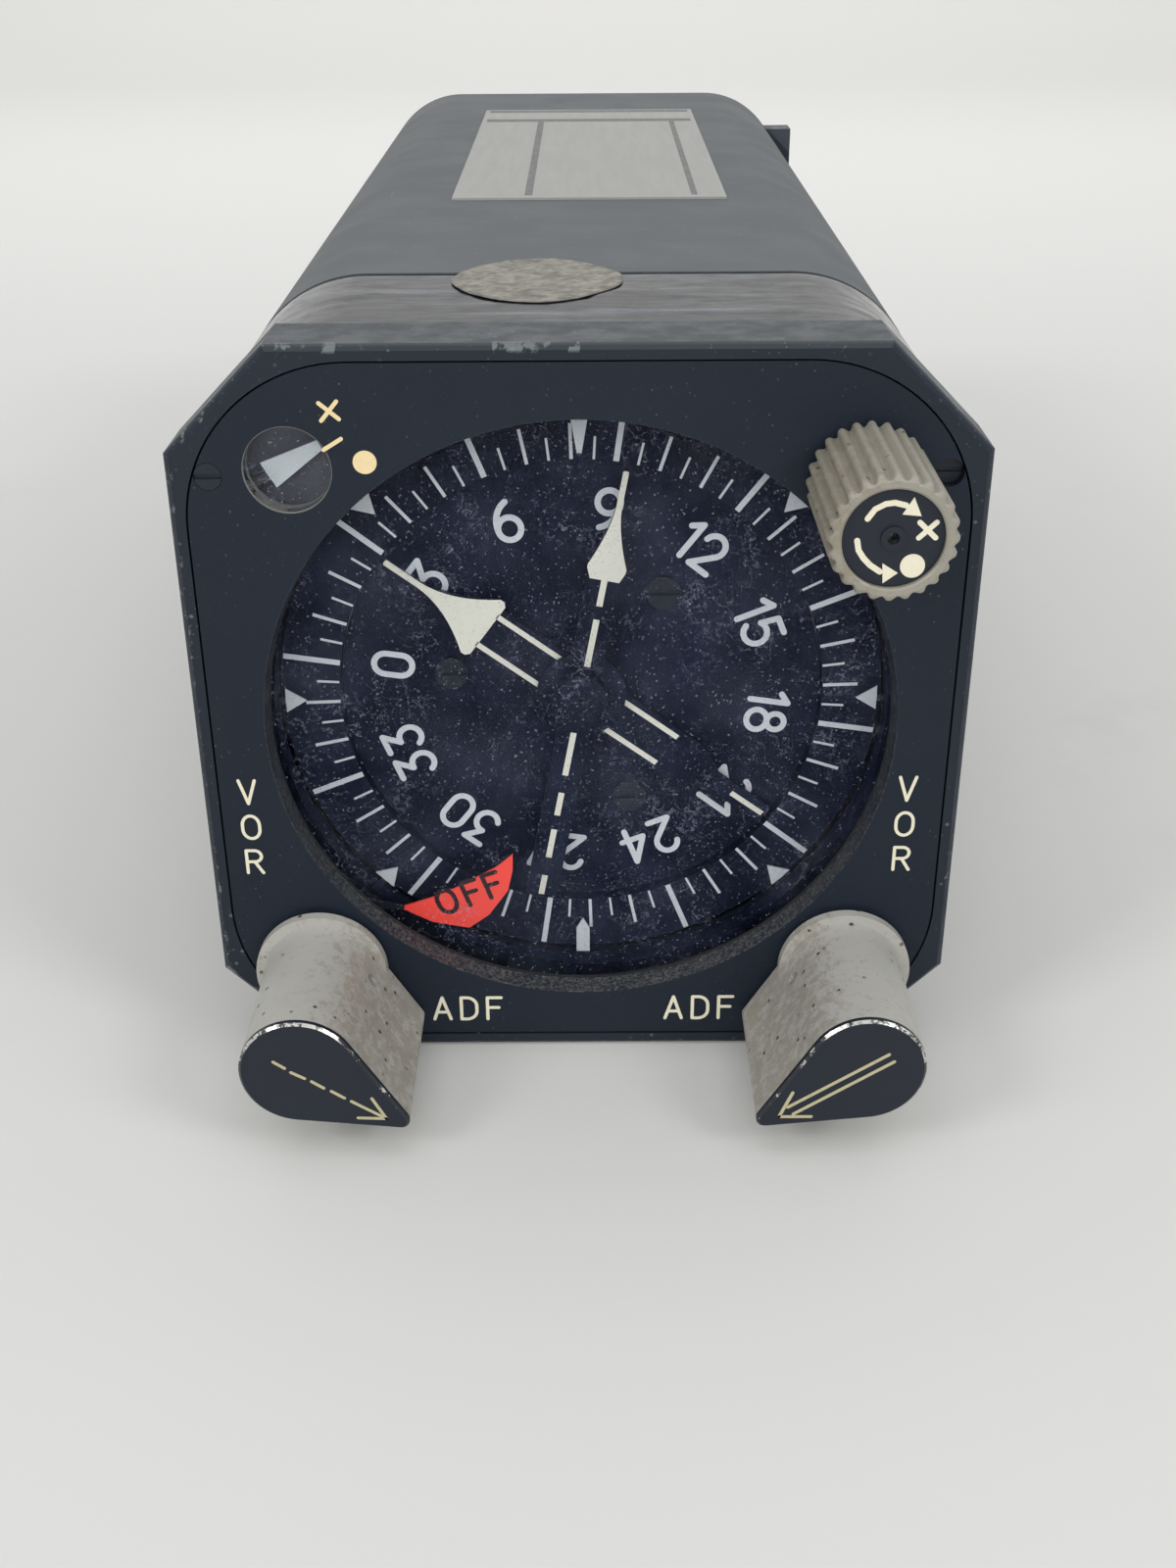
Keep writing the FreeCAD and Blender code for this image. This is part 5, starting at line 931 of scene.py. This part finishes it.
def teardrop(inset=0.0, steps=40):
    """Outline about the shaft with its tip to the right, drawn in by inset."""
    lean = math.degrees(math.acos((TEAR_ROUND - TEAR_TIP) / TEAR_OFFSET))
    body = arc(0, 0, TEAR_ROUND - inset, TEAR_ROUND - inset, lean, 360 - lean, steps)
    tip = arc(TEAR_OFFSET, 0, TEAR_TIP - inset, TEAR_TIP - inset, -lean, lean, 8)
    return body + tip


def selector_cap(side, cad_node, body):
    """Black face plate with a chamfered, chipped edge, and its arrow."""
    mesh = bmesh.new()
    front, back = depth_of(cad_node), depth_of(cad_node, 1)
    sign = -1 if side == "left" else 1
    turn = SELECTOR_TURN if side == "left" else -180 - SELECTOR_TURN
    surface = flat(front, sign * SELECTOR_X, SELECTOR_Z, turn)
    levels = ((0.0, -(back - front)), (0.0, -0.3), (CAP_CHAMFER, 0.0))
    rings = [[mesh.verts.new(surface(u, v, height)) for u, v in teardrop(inset)]
             for inset, height in levels]
    mesh.faces.new(rings[0])
    mesh.faces.new(rings[-1])
    for ring, following in zip(rings, rings[1:]):
        for face in join(mesh, ring, following):
            face.material_index = 1 if following is rings[-1] else 0
    piece = add_piece(side + "_cap_plate", mesh, body, "knob_face", "black", "chipped")
    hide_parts(cad_node)
    marks = bmesh.new()
    upright = flat(front, sign * SELECTOR_X, SELECTOR_Z)
    if side == "left":
        for points in DASHED_SHAFT:
            stroke(marks, points, DASHED_PEN, upright, MARK)
        for points in DASHED_HEAD:
            stroke(marks, points, DASHED_PEN, upright, MARK, STROKE_STEP)
    else:
        along = Vector(DOUBLE_WAY).normalized()
        across = Vector((-along.y, along.x))
        for offset in (-DOUBLE_HALF, DOUBLE_HALF):
            start = DOUBLE_START * along + offset * across
            end = DOUBLE_END * along + offset * across
            stroke(marks, [tuple(start), tuple(end)], DOUBLE_PEN, upright, MARK)
        tip = DOUBLE_TIP * along
        for offset in (-DOUBLE_WING_HALF, DOUBLE_WING_HALF):
            wing = DOUBLE_WING * along + offset * across
            stroke(marks, [tuple(tip), tuple(wing)], DOUBLE_PEN, upright, MARK, STROKE_STEP)
    add_piece(side + "_cap_arrow", marks, body, "mark_white", "arrow")


# Case details
COVER_HALF = 40.2
HOUSING_HALF = 40.0
HOUSING_CORNER = 15.3


def around(half, corner, spacing=0.8):
    """Points and outward normals around a rounded square, clockwise from the top centre."""
    straight = half - corner
    points = []
    for quarter in range(4):
        turn = math.radians(90 * quarter)
        side = [Vector((u, half)) for u in spread(-straight, straight, spacing)]
        bend = [Vector((straight + corner * math.sin(a), straight + corner * math.cos(a)))
                for a in spread(0, math.pi / 2, spacing / corner)]
        for index, point in enumerate(side[:-1] + bend[:-1]):
            normal = Vector((0, 1))
            if index >= len(side) - 1:
                normal = (point - Vector((straight, straight))).normalized()
            points.append(tuple(Vector((v.x * math.cos(turn) + v.y * math.sin(turn),
                                        -v.x * math.sin(turn) + v.y * math.cos(turn)))
                                for v in (point, normal)))
    return points


def spread(start, end, spacing):
    count = max(2, int(abs(end - start) / spacing) + 1)
    return [start + (end - start) * index / count for index in range(count + 1)]


def wrinkle(x, y, z):
    """Height of the tape's folds in millimetres."""
    long_fold = noise.noise(Vector((x * 0.06, y * 0.22, z * 0.06)))
    fine_fold = noise.noise(Vector((x * 0.25 + 9.0, y * 0.8, z * 0.25)))
    return 0.05 + 0.14 * max(0.0, long_fold) + 0.05 * max(0.0, fine_fold)


def wrinkled_tape():
    """Glossy tape wound around the housing, with shallow folds."""
    mesh = bmesh.new()
    line = around(HOUSING_HALF, HOUSING_CORNER)
    front, back = depth_of("seal_tape"), depth_of("seal_tape", 1)
    depths = spread(front, back, 1.0)
    outside, inside = [], []
    for depth in depths:
        edge = min(depth - front, back - depth)
        outside.append([])
        inside.append([])
        for point, normal in line:
            fold = wrinkle(point.x, depth, point.y) * min(1.0, 0.35 + edge / 3.0)
            lifted = point + normal * (0.06 + fold)
            seated = point + normal * 0.02
            outside[-1].append(mesh.verts.new(at(lifted.x, depth, lifted.y)))
            inside[-1].append(mesh.verts.new(at(seated.x, depth, seated.y)))
    wrap(mesh, outside + inside[::-1])
    piece = add_piece("wrinkled_tape", mesh, "case", "tape_black", "tape", smooth=True)
    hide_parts("seal_tape")


SEAL_X, SEAL_DEPTH, SEAL_ACROSS, SEAL_ALONG = -4.8, 34.8, 9.8, 11.8
SEAL_FILM, SEAL_GAP = 0.06, 0.03
SEAL_RINGS, SEAL_STEPS = 14, 90


def crinkled_seal():
    """Oval film stuck over the seam, cut a little unevenly and lifting in small creases."""
    mesh = bmesh.new()
    edges = []
    for base in (SEAL_FILM, 0.0):
        rings = []
        for level in range(1, SEAL_RINGS + 1):
            ring = []
            for index in range(SEAL_STEPS):
                angle = 2 * math.pi * index / SEAL_STEPS
                around_edge = Vector((2.2 * math.cos(angle), 2.2 * math.sin(angle), 3.0))
                ragged = 1 + 0.035 * noise.noise(around_edge)
                pinch = 1 - 0.05 * math.sin(2 * angle) ** 2
                share = level / SEAL_RINGS * ragged * pinch
                x = SEAL_X + SEAL_ACROSS * share * math.cos(angle)
                y = SEAL_DEPTH + SEAL_ALONG * share * math.sin(angle)
                crease = noise.noise(Vector((x * 0.5, y * 0.4, 4.0)))
                height = COVER_HALF + SEAL_GAP + base + 0.13 * abs(crease)
                ring.append(mesh.verts.new(at(x, y, height)))
            rings.append(ring)
        mesh.faces.new(rings[0])
        for ring, following in zip(rings, rings[1:]):
            join(mesh, ring, following)
        edges.append(rings[-1])
    join(mesh, *edges)
    piece = add_piece("crinkled_seal", mesh, "case", "seal_film", "seal", smooth=True)
    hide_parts("oval_seal")


def on_top(height):
    """Surface on top of the cover: u to the right, v back along the case."""
    def place(u, v, lift):
        return at(u, v, height + lift)
    return place


LABEL_HEADER, LABEL_INK = 17, 0.02


def label_print():
    """Plain ruled lines and a header band; the plate carries no words."""
    low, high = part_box("label_plate")
    left, right = low.x / MM, high.x / MM
    front, back = depth_of("label_plate"), depth_of("label_plate", 1)
    surface = on_top((high.z - AXIS_Z) / MM)
    mesh = bmesh.new()
    for low_x, high_x, low_y, high_y in (
            (left + 10.2, left + 11.3, front + 2, back - LABEL_HEADER),
            (right - 4.9, right - 4.0, front + 2, back - LABEL_HEADER),
            (left + 0.8, right - 0.8, back - LABEL_HEADER, back - 13.5),
            (left + 0.8, right - 0.8, back - 4, back - 1)):
        prism(mesh, [(low_x, low_y), (high_x, low_y), (high_x, high_y), (low_x, high_y)], surface,
              LABEL_INK)
    add_piece("label_lines", mesh, "case", "knob_face", "dark_ink")


CONTACT_PITCH, CONTACT_STEPS = 2.8, 14
CONTACT_RADIUS, SOCKET_RADIUS = 0.64, 0.42
CONTACT_DEEP, CONTACT_SUNK = 4.0, 0.25


def connector_contacts():
    """Gold sockets in the connector's insert."""
    mesh = bmesh.new()
    back = depth_of("connector_insert", 1)
    places = [(0.0, 0.0)]
    for ring in (1, 2):
        for number in range(6 * ring):
            angle = 2 * math.pi * number / (6 * ring)
            reach = CONTACT_PITCH * ring
            places.append((reach * math.cos(angle), reach * math.sin(angle)))
    low, high = back - CONTACT_DEEP, back - CONTACT_SUNK
    angles = [2 * math.pi * index / CONTACT_STEPS for index in range(CONTACT_STEPS)]
    for x, z in places:
        rings = [[mesh.verts.new(at(x + radius * math.cos(angle), depth,
                                    z + radius * math.sin(angle)))
                  for angle in angles]
                 for radius, depth in ((CONTACT_RADIUS, low), (CONTACT_RADIUS, high),
                                       (SOCKET_RADIUS, high), (SOCKET_RADIUS, low))]
        wrap(mesh, rings)
    add_piece("connector_contacts", mesh, "case", "gear_brass", "gold")


card_marks()
pointer_marks()
plate_marks()
sync_knob()
sync_face()
selector_cap("left", "left_selector_cap", "left_selector")
selector_cap("right", "right_selector_cap", "right_selector")
wrinkled_tape()
crinkled_seal()
label_print()
connector_contacts()


# Studio: pale sweep, soft overhead light and the camera at the photograph's angle.
def sweep():
    mesh = bmesh.new()
    profile = [(-1.6, 0.0), (0.9, 0.0)]
    profile += [(0.9 + 0.5 * math.sin(math.radians(a)), 0.5 - 0.5 * math.cos(math.radians(a)))
                for a in range(10, 91, 10)]
    profile += [(1.4, 2.2)]
    rows = [[mesh.verts.new((x, y, z)) for x in (-2.2, 2.2)] for y, z in profile]
    for row, following in zip(rows, rows[1:]):
        mesh.faces.new((row[0], row[1], following[1], following[0]))
    paint = Paint("sweep_paper", 0.75)
    scuffs = paint.rise(paint.noise(60.0, 8.0, 0.7), 0.55, 0.8)
    near = paint.mix(scuffs, srgb(204, 204, 201), srgb(198, 198, 195))
    # Painted light: the sweep is painted paler towards the back, standing in for the brighter
    # light there.
    distance = paint.rise(paint.offset("Y", 0.0), -50.0, 700.0)
    paint.colour(paint.mix(distance, near, srgb(230, 229, 226)))
    floor = mesh_object("sweep", mesh, [paint], True)


def area_light(name, place, target, size, power):
    lamp = bpy.data.lights.new(name, "AREA")
    lamp.shape = "RECTANGLE"
    lamp.size, lamp.size_y = size
    lamp.energy = power
    holder = bpy.data.objects.new(name, lamp)
    holder.location = place
    holder.rotation_euler = (Vector(target) - Vector(place)).to_track_quat("-Z", "Y").to_euler()
    bpy.context.scene.collection.objects.link(holder)


def world_light():
    world = bpy.data.worlds.new("studio")
    world.use_nodes = True
    background = world.node_tree.nodes["Background"]
    background.inputs["Color"].default_value = (0.95, 0.97, 1.0, 1.0)
    background.inputs["Strength"].default_value = 0.42
    bpy.context.scene.world = world


# Fitted to the corners and edges of the bezel and the case in the photograph
CAMERA_PLACE = (1.138, -169.088, 82.631)
CAMERA_TURN = (62.1885, 0.3211, -0.0276)
CAMERA_LENS, SENSOR_WIDTH = 40.24, 36.0


def photo_camera():
    data = bpy.data.cameras.new("photo_camera")
    data.sensor_width = SENSOR_WIDTH
    data.lens = CAMERA_LENS
    data.clip_start = 0.005
    camera = bpy.data.objects.new("photo_camera", data)
    camera.location = at(*CAMERA_PLACE)
    camera.rotation_euler = tuple(math.radians(angle) for angle in CAMERA_TURN)
    bpy.context.scene.collection.objects.link(camera)
    bpy.context.scene.camera = camera


sweep()
area_light("overhead", (0.0, 0.0, 0.95), (0.0, 0.0, 0.0), (1.3, 1.1), 4.6)
area_light("front_light", (0.0, -1.2, 0.5), (0.0, -0.1, 0.04), (0.9, 0.5), 5.0)
area_light("backdrop_light", (0.0, 0.5, 0.9), (0.0, 1.5, 0.3), (1.6, 0.5), 3.7)
for name, x in (("left_light", -0.9), ("right_light", 0.9)):
    area_light(name, (x, -0.75, 0.8), (0.0, -0.1, 0.04), (0.45, 0.35), 5.0)
world_light()
photo_camera()
bpy.context.scene.view_settings.view_transform = "Standard"
